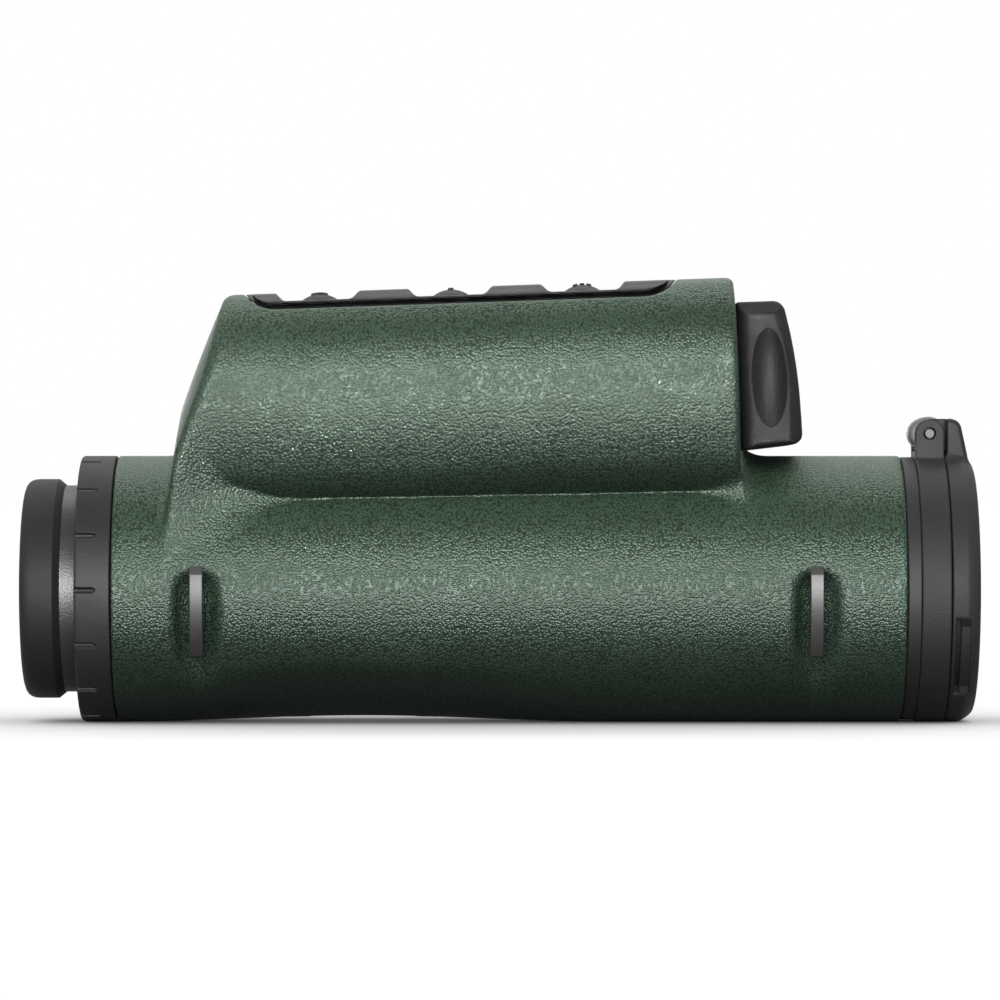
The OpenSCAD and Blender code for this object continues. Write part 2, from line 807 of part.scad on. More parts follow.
module battery_contact() {
    disc_r = 5;
    color("gold") tilted() translate([0, 0, battery_z]) {
        x_cyl(rivet_r, sleeve_x0 - 0.5, sleeve_x0 + sleeve_end_t + contact_t / 2);
        x_cyl(disc_r, sleeve_x0 + sleeve_end_t + seat_gap, battery_x0);
    }
}

// Side outline of the cap, from its back face, moved in by a distance
module cap_outline(inset) {
    low_front = -cap_drop + 0.9 + inset;
    corner = 1.8;
    lean_top = 2.4;
    polygon([
        [0, -cap_drop + inset], [cap_l - corner - inset, low_front], [cap_l - inset, low_front + corner],
        [cap_l - inset, 0], [cap_l - lean_top / 2 - inset, cap_rise - corner - inset],
        [cap_l - lean_top - inset, cap_rise - inset], [0, cap_rise - inset]
    ]);
}

// Spindle that scoops one side of the cap
module scoop_spindle() {
    half_w = scoop_w / 2;
    half_l = scoop_l / 2;
    belly_r = (half_w * half_w + scoop_depth * scoop_depth) / (2 * scoop_depth);
    sweep_r = (half_l * half_l + scoop_depth * scoop_depth) / (2 * scoop_depth);
    translate([0, -(belly_r - scoop_depth), 0])
        rotate_extrude() intersection() {
            translate([belly_r - sweep_r, 0]) circle(r = sweep_r);
            translate([0, -scoop_l]) square([belly_r + past, 2 * scoop_l]);
        }
}

module battery_cap() {
    scoop_x = cap_l / 2 - 0.2;
    scoop_z = (cap_rise - cap_drop) / 2 - 0.5;
    color("black") tilted() translate([cap_x0, 0, battery_z]) difference() {
        union() {
            hull() {
                side_extrude(cap_half_w - cap_bevel) cap_outline(0);
                side_extrude(cap_half_w) cap_outline(cap_bevel);
            }
            x_cyl(plug_r, -plug_l, past);
        }
        translate([o_ring_x - cap_x0, 0, 0])
            x_ring(plug_r + past, groove_r, -o_ring_r - seat_gap, o_ring_r + seat_gap);
        for (mirrored = [0, 1])
            mirror([0, mirrored, 0]) translate([scoop_x, -cap_half_w, scoop_z]) scoop_spindle();
    }
}

module cap_o_ring() {
    color("black") tilted() translate([o_ring_x, 0, battery_z]) rotate([0, 90, 0])
        rotate_extrude() translate([groove_r + o_ring_r + seat_gap / 2, 0]) circle(r = o_ring_r);
}

module cap_contact() {
    plate_r = 6;
    color("gold") tilted() translate([0, 0, battery_z]) {
        x_cyl(plate_r, plug_x0 - 0.4, plug_x0 - seat_gap);
        x_cyl(2, battery_x1 + seat_gap, plug_x0 - 0.2);
    }
}

// Strap bars

// Bar on the left side, bent along the tube, with a foot at each end
module strap_bar(x) {
    color("gray") difference() {
        x_sector(bar_r1, pocket_r + seat_gap, x - bar_w / 2, x + bar_w / 2,
                 strap_angle - strap_half_angle, strap_angle + strap_half_angle);
        x_sector(bar_r0, pocket_r - past, x - bar_w, x + bar_w,
                 strap_angle - strap_half_angle + foot_angle, strap_angle + strap_half_angle - foot_angle);
    }
}

module strap_bar_rear_right() {
    mirror([0, 1, 0]) strap_bar(strap_rear_x);
}

module strap_bar_rear_left() {
    strap_bar(strap_rear_x);
}

module strap_bar_front_right() {
    mirror([0, 1, 0]) strap_bar(strap_front_x);
}

module strap_bar_front_left() {
    strap_bar(strap_front_x);
}

// Objective end

module objective_cell() {
    shoulder = 1;
    color("black") difference() {
        x_cyl(seat_r, cell_x0, cell_x1);
        x_cyl(hood_r - shoulder, cell_x0 - past, cell_x1 + past);
        x_cyl(hood_r, objective_x0, cell_x1 + past);
    }
}

module objective_lens() {
    color("lightcyan") lens(objective_r, objective_edge_t, objective_sag, objective_x0 + loose_gap);
}

module objective_retainer() {
    color("black") x_ring(objective_r, objective_r - 1, retainer_x0, retainer_x0 + retainer_l);
}

module objective_bezel() {
    rim_inset = 0.2;
    color("dimgray") difference() {
        union() {
            x_cyl(seat_r, cell_x1 + seat_gap, body_x1 + past);
            x_cyl(tube_r - rim_inset, body_x1 + seat_gap, bezel_x1);
            x_cyl(collar_r, bezel_x1 - past, cover_ring_x1 - plug_ring_l - loose_gap);
        }
        x_cyl(hood_r, cell_x1 - past, cover_ring_x1 + past);
    }
}

module cover_ring() {
    boss_h = 0.7;
    boss_l = 0.7;
    color("dimgray") difference() {
        union() {
            x_ring(tube_r, cover_ring_r, bezel_x1 + seat_gap, cover_ring_x1);
            for (side = [-1, 1]) {
                ear_y0 = side > 0 ? ear_y : -hinge_half_w;
                translate([hinge_x + seat_gap / 2 - ear_r, ear_y0, tube_r - 2])
                    cube([2 * ear_r, hinge_half_w - ear_y, hinge_rise + 2]);
                translate([hinge_x + seat_gap / 2, ear_y0 + hinge_half_w - ear_y, hinge_z])
                    rotate([90, 0, 0]) cylinder(r = ear_r, h = hinge_half_w - ear_y);
            }
            translate([hinge_x + seat_gap / 2 - ear_r, -ear_y, tube_r - 1])
                cube([boss_l, 2 * ear_y, 1 + boss_h]);
        }
        y_pin(hinge_pin_r + press_gap, hinge_half_w + past, hinge_x, hinge_z);
    }
}

module objective_cover() {
    bevel_r = tube_r - rim_bevel;
    tab_z1 = hinge_z + tab_rise;
    color("dimgray") difference() {
        union() {
            x_lathe([[cover_x0, plug_ring_r1], [cover_x0, tube_r], [cover_x1 - rim_bevel, tube_r],
                     [cover_x1 - 0.3, bevel_r], [cover_x1, bevel_r - 1], [cover_x1, 0],
                     [cover_x1 - cover_plate_t, 0], [cover_x1 - cover_plate_t, plug_ring_r0],
                     [cover_x0 - plug_ring_l, plug_ring_r0], [cover_x0 - plug_ring_l, plug_ring_r1]]);
            side_extrude(hinge_half_w)
                polygon([[cover_x0, tube_r - 2.5], [cover_x0, tab_z1], [tab_x1 - 0.8, tab_z1],
                         [tab_x1, tab_z1 - 0.8], [cover_x1 - rim_bevel, tube_r - 0.6],
                         [cover_x1 - rim_bevel, tube_r - 2.5]]);
            y_pin(knuckle_r, knuckle_half_w, hinge_x, hinge_z);
            side_extrude(knuckle_half_w)
                polygon([[hinge_x, hinge_z], [hinge_x, tab_z1],
                         [cover_x0 + past, tab_z1], [cover_x0 + past, hinge_z]]);
        }
        y_pin(hinge_pin_r + 0.07, hinge_half_w + past, hinge_x, hinge_z);
        for (mirrored = [0, 1])
            mirror([0, mirrored, 0])
                x_sector(tube_r + past, tube_r - grip_depth, cover_x0 - past, cover_x0 + grip_l,
                         grip_angle0, grip_angle1);
    }
}

module hinge_pin() {
    color("silver") y_pin(hinge_pin_r, hinge_half_w - 0.1, hinge_x, hinge_z);
}

// Focus

module focus_ring() {
    edge = 0.3;
    clear_r = sleeve_r + loose_gap;
    color("dimgray") difference() {
        x_lathe([[ring_x0, clear_r], [ring_x0, tube_r - edge], [ring_x0 + edge, tube_r], [ring_x1, tube_r],
                 [ring_x1, cam_bore], [web_x0, cam_bore], [web_x0, clear_r]]);
        for (i = [0:notch_count - 1])
            rotate([i * 360 / notch_count, 0, 0])
                translate([ring_x0 - past, -tube_r - past, -notch_w / 2])
                    cube([notch_l + past, past + notch_depth, notch_w]);
        focus_screw_places() {
            x_cyl(focus_screw_r + press_gap, web_x0 - past, ring_x1 + past);
            x_cyl(focus_head_r + seat_gap, web_x0 - past, web_x0 + screw_head_t + seat_gap);
        }
    }
}

// Places of the screws between the focus ring and the cam sleeve
module focus_screw_places() {
    for (angle = [30, 150, 270])
        rotate([angle, 0, 0]) translate([0, focus_screw_y, 0]) children();
}

module focus_screws() {
    color("silver") focus_screw_places() {
        x_cyl(focus_screw_r, web_x0 + screw_head_t / 2, web_x0 + focus_screw_l);
        x_cyl(focus_head_r, web_x0 + seat_gap, web_x0 + screw_head_t);
    }
}

// Tube that turns with the focus ring, with a helical slot for the follower pin
module cam_sleeve() {
    steps = 40;
    color("gray") difference() {
        union() {
            x_cyl(cam_r, ring_x1 + press_gap, cam_x1);
            x_cyl(cam_flange_r, cam_flange_x0, cam_flange_x0 + cam_flange_l);
        }
        x_cyl(cam_bore, ring_x1 - past, cam_x1 + past);
        for (i = [0:steps]) {
            share = 2 * i / steps - 1;
            radial(slot_r, cam_bore - past, cam_flange_r + past, follower_x + share * ocular_travel,
                   90 - share * focus_turn);
        }
        focus_screw_places()
            x_cyl(focus_screw_r + press_gap, ring_x1 - past, web_x0 + focus_screw_l + loose_gap);
    }
}

module follower_pin() {
    color("silver") radial(follower_r, ocular_bore + 0.2, cam_r - 0.1, follower_x, 90);
}

// Eyepiece

module eyepiece_barrel() {
    barrel_out_r = max(barrel_front_r, barrel_rear_r) + past;
    color("black") difference() {
        union() {
            x_cyl(barrel_rear_r, barrel_x0, barrel_step_x);
            x_cyl(barrel_front_r, barrel_step_x - seat_gap, barrel_flange_x1);
            x_cyl(seat_r, barrel_flange_x0, barrel_flange_x1);
        }
        x_cyl(barrel_bore, barrel_x0 - past, barrel_flange_x1 + past);
        for (side = [-1, 1])
            radial(slot_r, 0, barrel_out_r, follower_x + side * ocular_travel, 90);
        translate([follower_x - ocular_travel, -slot_r, 0])
            cube([2 * ocular_travel, 2 * slot_r, barrel_out_r]);
        radial(guide_pin_r + press_gap, 0, barrel_out_r, guide_x, 90);
        translate([barrel_x0 - past, -key_w / 2 - run_gap, -barrel_rear_r - past])
            cube([barrel_step_x - barrel_x0 + past, key_w + 2 * run_gap, past + key_depth + run_gap]);
        cage_screw_places() x_cyl(screw_r + press_gap, barrel_flange_x0 + 0.3, barrel_flange_x1 + past);
    }
}

module ocular_cell() {
    shoulder = 1;
    color("black") difference() {
        x_cyl(ocular_r, ocular_x0, ocular_x1);
        x_cyl(ocular_bore - shoulder, ocular_x0 - past, ocular_x1 + past);
        x_cyl(ocular_bore, ocular_x0 - past, ocular_x0 + ocular_lens_t);
        x_cyl(ocular_bore, ocular_x1 - ocular_lens_t, ocular_x1 + past);
        radial(follower_r + press_gap, ocular_bore - 2 * shoulder, ocular_r + past, follower_x, 90);
    }
}

module eye_lens() {
    color("lightcyan") lens(ocular_bore - seat_gap, lens_edge_t, lens_sag,
                            ocular_x0 + ocular_lens_t - lens_edge_t - loose_gap);
}

module field_lens() {
    color("lightcyan") lens(ocular_bore - seat_gap, lens_edge_t, lens_sag,
                            ocular_x1 - ocular_lens_t + loose_gap);
}

module eyecup() {
    bevel = 0.9;
    inner_round = 0.8;
    color("black") x_lathe(concat(
        arc([cup_x0 + cup_round, eyecup_r - cup_round], cup_round, 180, 90),
        [[cup_x1 - bevel, eyecup_r], [cup_x1, eyecup_r - bevel], [cup_x1, sleeve_r + press_gap],
         [eyecup_sleeve_x0 - press_gap, sleeve_r + press_gap], [eyecup_sleeve_x0 - press_gap, cup_mouth_r]],
        arc([cup_x0 + inner_round, cup_mouth_r + inner_round], inner_round, 270, 180)
    ));
}

// Metal tube of the eyecup, with a helical groove inside for the guide pin
module eyecup_sleeve() {
    steps = 48;
    color("silver") difference() {
        x_ring(sleeve_r, sleeve_bore, eyecup_sleeve_x0, eyecup_sleeve_x1);
        x_cyl(sleeve_bore + glide_wall, glide_x0, eyecup_sleeve_x1 + past);
        for (i = [0:steps])
            radial(guide_groove_r, sleeve_bore - past, sleeve_bore + guide_depth,
                   guide_x + eyecup_travel * i / steps, 90 - eyecup_twist * i / steps);
    }
}

module eyecup_glide_ring() {
    color("ivory") {
        x_ring(sleeve_bore + glide_wall - run_gap, sleeve_bore,
               glide_x0 + seat_gap, eyecup_sleeve_x1 - seat_gap);
        translate([glide_x0 + seat_gap, -key_w / 2, -sleeve_bore - glide_wall / 2])
            cube([glide_l - 2 * seat_gap, key_w, glide_wall / 2 + key_depth + run_gap]);
    }
}

module eyecup_guide_pin() {
    color("silver") radial(guide_pin_r, barrel_bore + 0.1, sleeve_bore + guide_depth - 0.2, guide_x, 90);
}

// Prism unit

// Places of the screws between the eyepiece barrel and the prism cage
module cage_screw_places() {
    for (angle = [0, 180, 270])
        rotate([angle, 0, 0]) translate([0, cage_screw_y, 0]) children();
}

module prism_cage() {
    window = prism_half - 1;
    inner = prism_half + seat_gap;
    cage_x1 = prism_x0 + prism_l;
    color("black") difference() {
        union() {
            x_cyl(seat_r, cage_x0, cage_x0 + cage_flange_l);
            intersection() {
                x_cyl(seat_r - run_gap, cage_x0, cage_x1);
                translate([cage_x0, -cage_half_w, -cage_top_z])
                    cube([cage_x1 - cage_x0, 2 * cage_half_w, 2 * cage_top_z]);
            }
        }
        translate([cage_x0 - past, -window, -window]) cube([prism_l, 2 * window, 2 * window]);
        translate([cage_x0 + cage_flange_l, -inner, -inner]) cube([2 * prism_l, 2 * inner, 2 * inner]);
        translate([emitter_x, 0, 0]) cylinder(r = emitter_r - 1, h = cage_top_z + past);
        translate([receiver_x, 0, 0]) cylinder(r = receiver_r - 1, h = cage_top_z + past);
        cage_screw_places() x_cyl(screw_r + press_gap, cage_x0 - past, cage_x0 + cage_flange_l + past);
    }
}

module cage_screws() {
    color("silver") cage_screw_places() {
        x_cyl(screw_r, barrel_flange_x0 + 0.5, cage_x0 + cage_flange_l + screw_head_t / 2);
        x_cyl(screw_head_r, cage_x0 + cage_flange_l + seat_gap, cage_x0 + cage_flange_l + screw_head_t);
    }
}

// First prism, with the slanted face towards the roof prism
module front_prism() {
    color("paleturquoise") side_extrude(prism_half)
        polygon([[prism_x0 + prism_l, -prism_half], [prism_x0 + prism_l, prism_half],
                 [prism_x0 + prism_l / 2 + air_gap, prism_half],
                 [prism_x0 + prism_l / 6 + air_gap, -prism_half]]);
}

// Second prism, with a ridge along its top
module roof_prism() {
    ridge_drop = prism_half * 0.3;
    color("lightblue") intersection() {
        side_extrude(prism_half)
            polygon([[prism_x0 + seat_gap, -prism_half], [prism_x0 + prism_l / 6, -prism_half],
                     [prism_x0 + prism_l / 2, prism_half], [prism_x0 + seat_gap, prism_half]]);
        translate([prism_x0, 0, 0]) rotate([90, 0, 90]) linear_extrude(prism_l)
            polygon([[-prism_half, -prism_half], [prism_half, -prism_half],
                     [prism_half, prism_half - ridge_drop], [0, prism_half],
                     [-prism_half, prism_half - ridge_drop]]);
    }
}

module laser_emitter() {
    color("silver") translate([emitter_x, 0, cage_top_z + seat_gap]) {
        cylinder(r = emitter_r, h = 1.5);
        cylinder(r = emitter_r - 1.2, h = emitter_h);
    }
}

module photodiode_receiver() {
    color("gold") translate([receiver_x, 0, cage_top_z + seat_gap]) {
        cylinder(r = receiver_r, h = 1);
        cylinder(r = receiver_r - 0.6, h = receiver_h);
    }
}

module display_module() {
    display_half_w = 4.5;
    color("black") translate([display_x - display_l / 2, -display_half_w, cage_top_z + seat_gap])
        cube([display_l, 2 * display_half_w, display_h - seat_gap]);
}

module baffle_ring() {
    baffle_t = 1.5;
    opening_r = hood_r - 2.5;
    color("black") x_ring(seat_r, opening_r, baffle_x - baffle_t, baffle_x + baffle_t);
}

// The part stands on the underside of its tube
module standing() {
    translate([0, 0, tube_r]) children();
}

standing() armour();
standing() main_housing();
standing() top_panel();
standing() panel_gasket();
standing() button_rear();
standing() button_middle();
standing() button_front();
standing() tact_switches();
standing() circuit_board();
standing() board_chips();
standing() board_screws();
standing() battery();
standing() battery_sleeve();
standing() battery_contact();
standing() battery_cap();
standing() cap_o_ring();
standing() cap_contact();
standing() strap_bar_rear_right();
standing() strap_bar_rear_left();
standing() strap_bar_front_right();
standing() strap_bar_front_left();
standing() objective_cell();
standing() objective_lens();
standing() objective_retainer();
standing() objective_bezel();
standing() cover_ring();
standing() objective_cover();
standing() hinge_pin();
standing() focus_ring();
standing() cam_sleeve();
standing() focus_screws();
standing() eyepiece_barrel();
standing() ocular_cell();
standing() eye_lens();
standing() field_lens();
standing() follower_pin();
standing() eyecup();
standing() eyecup_sleeve();
standing() eyecup_glide_ring();
standing() eyecup_guide_pin();
standing() prism_cage();
standing() front_prism();
standing() roof_prism();
standing() cage_screws();
standing() laser_emitter();
standing() photodiode_receiver();
standing() display_module();
standing() ribbon_cable();
standing() baffle_ring();
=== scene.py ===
"""Looks of a hand-held rangefinder monocular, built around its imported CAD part.

Most shapes are distance fields in millimetres, measured from the optical axis: x runs forward to the
objective, y to the left and z up. A field is negative inside the shape, and mesh_field() turns it into a
mesh.
"""

import json
import math
from itertools import product

import bpy
import numpy as np
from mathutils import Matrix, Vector


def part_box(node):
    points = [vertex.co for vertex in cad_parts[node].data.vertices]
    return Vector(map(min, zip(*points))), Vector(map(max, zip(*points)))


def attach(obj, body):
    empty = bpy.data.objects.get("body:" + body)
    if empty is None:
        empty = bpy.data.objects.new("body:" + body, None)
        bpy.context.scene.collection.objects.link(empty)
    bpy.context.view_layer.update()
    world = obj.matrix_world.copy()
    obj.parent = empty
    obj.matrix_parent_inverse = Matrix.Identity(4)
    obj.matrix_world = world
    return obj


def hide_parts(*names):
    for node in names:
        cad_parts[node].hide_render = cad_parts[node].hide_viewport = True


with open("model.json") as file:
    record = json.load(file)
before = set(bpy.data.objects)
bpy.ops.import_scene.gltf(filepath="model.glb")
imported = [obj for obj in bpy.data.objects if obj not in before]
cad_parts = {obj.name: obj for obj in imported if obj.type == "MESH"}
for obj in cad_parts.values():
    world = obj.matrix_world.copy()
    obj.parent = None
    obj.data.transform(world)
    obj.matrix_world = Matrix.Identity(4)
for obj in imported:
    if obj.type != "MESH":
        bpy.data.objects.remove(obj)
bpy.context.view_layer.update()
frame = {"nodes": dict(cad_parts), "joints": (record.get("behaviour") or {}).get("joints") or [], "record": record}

# Sizes taken from the frame, in millimetres from the optical axis

MM = 0.001


def span(node, axis):
    """Lowest and highest place of a CAD node along an axis, in millimetres."""
    low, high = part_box(node)
    return low[axis] / MM, high[axis] / MM


def middle(node, axis):
    """Middle of a CAD node along an axis, in millimetres."""
    return sum(span(node, axis)) / 2


def joint_axis(name):
    """Direction of a joint of the frame."""
    return next(joint["axis"] for joint in frame["joints"] if joint["name"] == name)


FOCUS_X0, FOCUS_X1 = span("focus_ring", 0)
FOCUS_LOW, FOCUS_HIGH = span("focus_ring", 2)
AXIS_Z = (FOCUS_LOW + FOCUS_HIGH) / 2
TUBE_R = (FOCUS_HIGH - FOCUS_LOW) / 2
BODY_X0, BODY_X1 = span("armour", 0)
CUP_X0, CUP_X1 = span("eyecup", 0)
CUP_R = span("eyecup", 1)[1]
RING_X0, RING_X1 = span("cover_ring", 0)
BEZEL_R = span("objective_bezel", 1)[1]
BEZEL_X1 = span("objective_bezel", 0)[1]
HINGE_X = middle("hinge_pin", 0)
HINGE_Z = middle("hinge_pin", 2) - AXIS_Z
BAR_X = {end: middle(f"strap_bar_{end}_right", 0) for end in ("rear", "front")}
TILT_COS, _, TILT_SIN = joint_axis("cap_pull")

# Tube and armour
TUBE_EDGE = 0.45
TUBE_BORE = 18.12
SKIN = 1.5
THUMB_X = -21.7
THUMB_R = 260
THUMB_DEPTH = 2.4
THUMB_ANGLE = math.radians(66.5)
THUMB_SOFT = 1.6
PLUG_HOLE_GAP = 0.5
PLUG_HOLE_L = 6

# Upper module, in its own tilted frame
MODULE_FRONT = 38.7
MODULE_TOP = (span("armour", 2)[1] - AXIS_Z - MODULE_FRONT * TILT_SIN) / TILT_COS
MODULE_REAR = -41.6
MODULE_MID = 33.3
MODULE_HALF_W = span("armour", 1)[1]
SHOULDER_R = 15.85
SIDE_R = 34
TUCK_R = 14
TUCK_ANGLE = math.radians(22.5)
REAR_LEAN = math.radians(21.8)
REAR_BULGE_R = 240
REAR_BULGE = 0.5
REAR_BOW = 2.6
REAR_ROUND = 1.2
FRONT_ROUND = 1.2
TOP_ROUND = 1.2

# Fairing between the tube and the rear of the module
FAIRING_X0 = -53.7
FAIRING_LEAN = 0.13
FAIRING_MID_Z = 15
FAIRING_HALF_H = 12
FAIRING_START_X = -31
FAIRING_START_Y = 15.2
FAIRING_SLOPE = 0.241
FAIRING_BLEND = 2.0
FAIRING_FADE = 6
CREASE_END_X = -42
CREASE_BLEND = 0.25
REAR_BLEND = 5.0
FRONT_BLEND = 5.0
FRONT_BLEND_L = 10

# Top panel and buttons, in the module's frame
PANEL_Z0 = 45.45
PANEL_X0 = -38.6
PANEL_FLOOR_X0 = -36.2
PANEL_FLOOR_X1 = 24.2
PANEL_RAMP_R = 7.16
PANEL_GAP = 0.12
PANEL_REAR_ROUND = 1.8
PANEL_SEAT_EDGE = 0.3
PANEL_BAND = 0.75
PANEL_EDGE = 0.35
PANEL_GROOVE = 1.0
RECESS_Z = 46.65
RECESS_HALF_L = 6.7
RECESS_RAMP = 1.2
RECESS_ROUND = 0.5
RECESS_EDGE = 0.2
BUTTON_X = {"rear": -27.05, "middle": -6.05, "front": 14.95}
BUTTON_R = 3.5
BUTTON_HOLE_R = 3.7
BUTTON_TOP = 48.05
BUTTON_DOME_R = 4.8
BUTTON_EDGE = 0.2
BUTTON_DROP = 0.7
BUTTON_FOOT_EDGE = 0.1
FLANGE_R = 4.5
FLANGE_DROP = (0.2, 0.8)
FLANGE_EDGE = 0.15
STEM_R = 1
STEM_DROP = (0.6, 1.8)
MARK_H = 0.3
MARK_EDGE = 0.1
MARK_FILLET = 0.05
DASH_HALF_L = 1.35
DASH_HALF_W = 0.4
DOT_R = 0.45
SMALL_DOT_R = 0.4
SMALL_DOT_PITCH = 1.1

# Battery cap, in the module's frame, with its outline measured from its seat and the plug's axis
CAP_X0 = 38.85
CAP_Z = 30.6
CAP_OUTLINE = [(-3, -10.3), (10.1, -9.2), (10.2, 1.5), (9.5, 7), (7.8, 13.6), (-3, 13.6)]
CAP_CORNER_R = 1.9
CAP_HALF_W = 14
CAP_BEVEL = 2.2
CAP_BEVEL_EDGE = 0.25
CAP_BOTTOM_DROP = 0.7 * CAP_BEVEL
CAP_EDGE = 0.5
CAP_FACE_ROUND = 2.8
CAP_REAR_ROUND = 0.6
CAP_SCOOP = (43.8, 31.9)
CAP_SCOOP_HALF = (2.85, 7.9)
CAP_SCOOP_DEPTH = 1.8
PLUG_R = 8.6
PLUG_X0 = 32.65
PLUG_X1 = CAP_X0 + 1
PLUG_EDGE = 0.4
SEAL_GROOVE_X = (PLUG_X0 + CAP_X0) / 2
SEAL_GROOVE_HALF_L = 0.65
SEAL_GROOVE_DEPTH = 1.1

# Strap bars and their pockets
BAR_ANGLE = math.radians(-9.2)
BAR_HALF_ANGLE = math.radians(20.1)
BAR_HALF_W = 1.1
BAR_R0 = 19.8
BAR_R1 = 21.5
BAR_END_L = 1.6
BAR_END_DROP = 0.35
BAR_FOOT_ANGLE = math.radians(3.5)
BAR_FOOT_SINK = 0.5
BAR_EDGE = 0.2
BAR_SIDE_EDGE = 0.25
POCKET_R = 18.9
POCKET_GROOVE_R = 4.2
POCKET_TOP_ANGLE = math.radians(18)
POCKET_LOW_ANGLE = math.radians(45)
POCKET_EDGE = 0.8

# Hinge and ring of the cover
PIN_R = 0.65
PIN_GAP = 0.1
PIN_SINK = 0.1
PIN_HEAD_R = 0.76
PIN_HEAD_L = 0.4
PIN_EDGE = 0.12
PIN_RECESS_R = 0.95
RING_BORE = 18.45
RING_EDGE = 0.3
RING_BORE_EDGE = 0.2
EAR_Y0 = 3.15
EAR_Y1 = 5.2
EAR_R = 2.3
EAR_ROOT = 2
EAR_EDGE = 0.25
EAR_FILLET = 0.5
STOP_L = 0.7
STOP_H = 0.7
STOP_ROOT = 1.0
STOP_OVERLAP = 0.5
KNUCKLE_R = 2.75
KNUCKLE_SQUEEZE = 0.85
KNUCKLE_HALF_W = 3.0
KNUCKLE_ROUND = 0.9
ARM_Z = 24.5
ARM_HALF_H = 2.6
ARM_HALF_L = 1.5
ARM_EDGE = 0.3

# Flip-up cover, with the front of its tab as setbacks from the cover's front and heights
COVER_GAP = 0.15
COVER_INSET = 0.02
COVER_X0 = RING_X1 + COVER_GAP
COVER_X1 = span("objective_cover", 0)[1] - COVER_INSET
COVER_EDGE = 0.25
COVER_FACE_BEVEL = 1.5
COVER_FACE_EDGE = 0.35
COVER_BEVEL = 2.0
COVER_BEVEL_ANGLE = math.radians(30)
COVER_BEVEL_EDGE = 0.15
COVER_PLATE_T = 1.6
COVER_PLUG_R0 = 14.0
COVER_PLUG_R1 = 14.9
COVER_PLUG_HALF_L = 1.4
TAB_FRONT = [(1.0, 17.0), (0.75, 20.3), (2.05, 26.3), (3.1, 27.1)]
TAB_REACH = 2
TAB_SETBACK = 0.3
TAB_CORNER_R = 0.4
TAB_BEVEL = 0.6
TAB_EDGE = 0.15
TAB_REAR_EDGE = 0.2
TAB_FILLET = 1.2
GRIP_ANGLE = math.radians(-32)
GRIP_HALF_ANGLE = math.radians(20.4)
GRIP_X0 = COVER_X0 + 0.5
GRIP_X1 = COVER_X0 + 2.95
GRIP_GROOVE = 0.9
GRIP_GROOVE_INSET = 0.4
GRIP_DEPTH = 0.8
GRIP_RAMP = 1.6
GRIP_RAMP_SLOPE = 0.5
GRIP_EDGE = 0.12

# Focus ring
FOCUS_REAR_EDGE = 0.5
FOCUS_FRONT_EDGE = 0.25
FOCUS_BORE_EDGE = 0.2
FOCUS_REAR_BORE = 16.8
FOCUS_FRONT_BORE = 14.0
FOCUS_STEP = 0.675
NOTCHES = 15
NOTCH_L = 2.6
NOTCH_R = 0.42
NOTCH_SINK = 0.2
NOTCH_TAPER = 0.55
NOTCH_EDGE = 0.12

# Eyecup and bezel
CUP_MOUTH_R = 13.4
CUP_BORE_R = 16.52
CUP_LIP_T = 1.2
CUP_CHAMFER = 1.1
CUP_CHAMFER_R = 16.6
BEZEL_X0 = 54.9
BEZEL_GAP = 0.05
BEZEL_BORE_R = 15.05
BEZEL_SEAT_R = 16.65
BEZEL_NECK_R = 18.4


# Fields

def round_max(a, b, r):
    """Overlap of two fields with the edge between them rounded to radius r."""
    return np.minimum(np.maximum(a, b), -r) + np.hypot(np.maximum(a + r, 0), np.maximum(b + r, 0))


def round_min(a, b, r):
    """Sum of two fields with a fillet of radius r between them."""
    return -round_max(-a, -b, r)


def smooth_min(a, b, k):
    """Sum of two fields that flow into each other where they are within k of each other."""
    near = np.maximum(k - np.abs(a - b), 0) / k
    return np.minimum(a, b) - near * near * k / 4


def bevel_max(a, b, bevel, r):
    """Overlap of two fields with a flat bevel along the edge and rounded bevel edges."""
    slant = (a + b + bevel) * math.sqrt(0.5)
    return round_max(round_max(a, slant, r), b, r)


def slab(v, low, high):
    """Layer between two places along one direction."""
    return np.abs(v - (low + high) / 2) - (high - low) / 2


def convex(u, w, corners, r):
    """Convex outline through corners given anticlockwise, with corners rounded to r."""
    field = None
    for p, q in zip(corners, corners[1:] + corners[:1]):
        du, dw = q[0] - p[0], q[1] - p[1]
        edge = ((u - p[0]) * dw - (w - p[1]) * du) / math.hypot(du, dw)
        field = edge if field is None else round_max(field, edge, r)
    return field


def to_module(x, z):
    """Place in the module's tilted frame."""
    return x * TILT_COS + z * TILT_SIN, z * TILT_COS - x * TILT_SIN


def module_section(side, w):
    """Cross section of the module: round shoulders, long sides and a tight tuck to the tube."""
    shoulder = np.hypot(np.maximum(side - (MODULE_HALF_W - SHOULDER_R), 0), w - MODULE_MID) - SHOULDER_R
    flank_y = MODULE_HALF_W - SIDE_R
    flank = np.hypot(side - flank_y, w - MODULE_MID) - SIDE_R
    cos_a, sin_a = math.cos(TUCK_ANGLE), math.sin(TUCK_ANGLE)
    tuck_y = flank_y + (SIDE_R - TUCK_R) * cos_a
    tuck_z = MODULE_MID - (SIDE_R - TUCK_R) * sin_a
    tuck = np.hypot(np.maximum(side - tuck_y, 0), w - tuck_z) - TUCK_R
    below = (side - tuck_y) * sin_a + (w - tuck_z) * cos_a < 0
    return np.where(w > MODULE_MID, shoulder, np.where(below, tuck, flank))


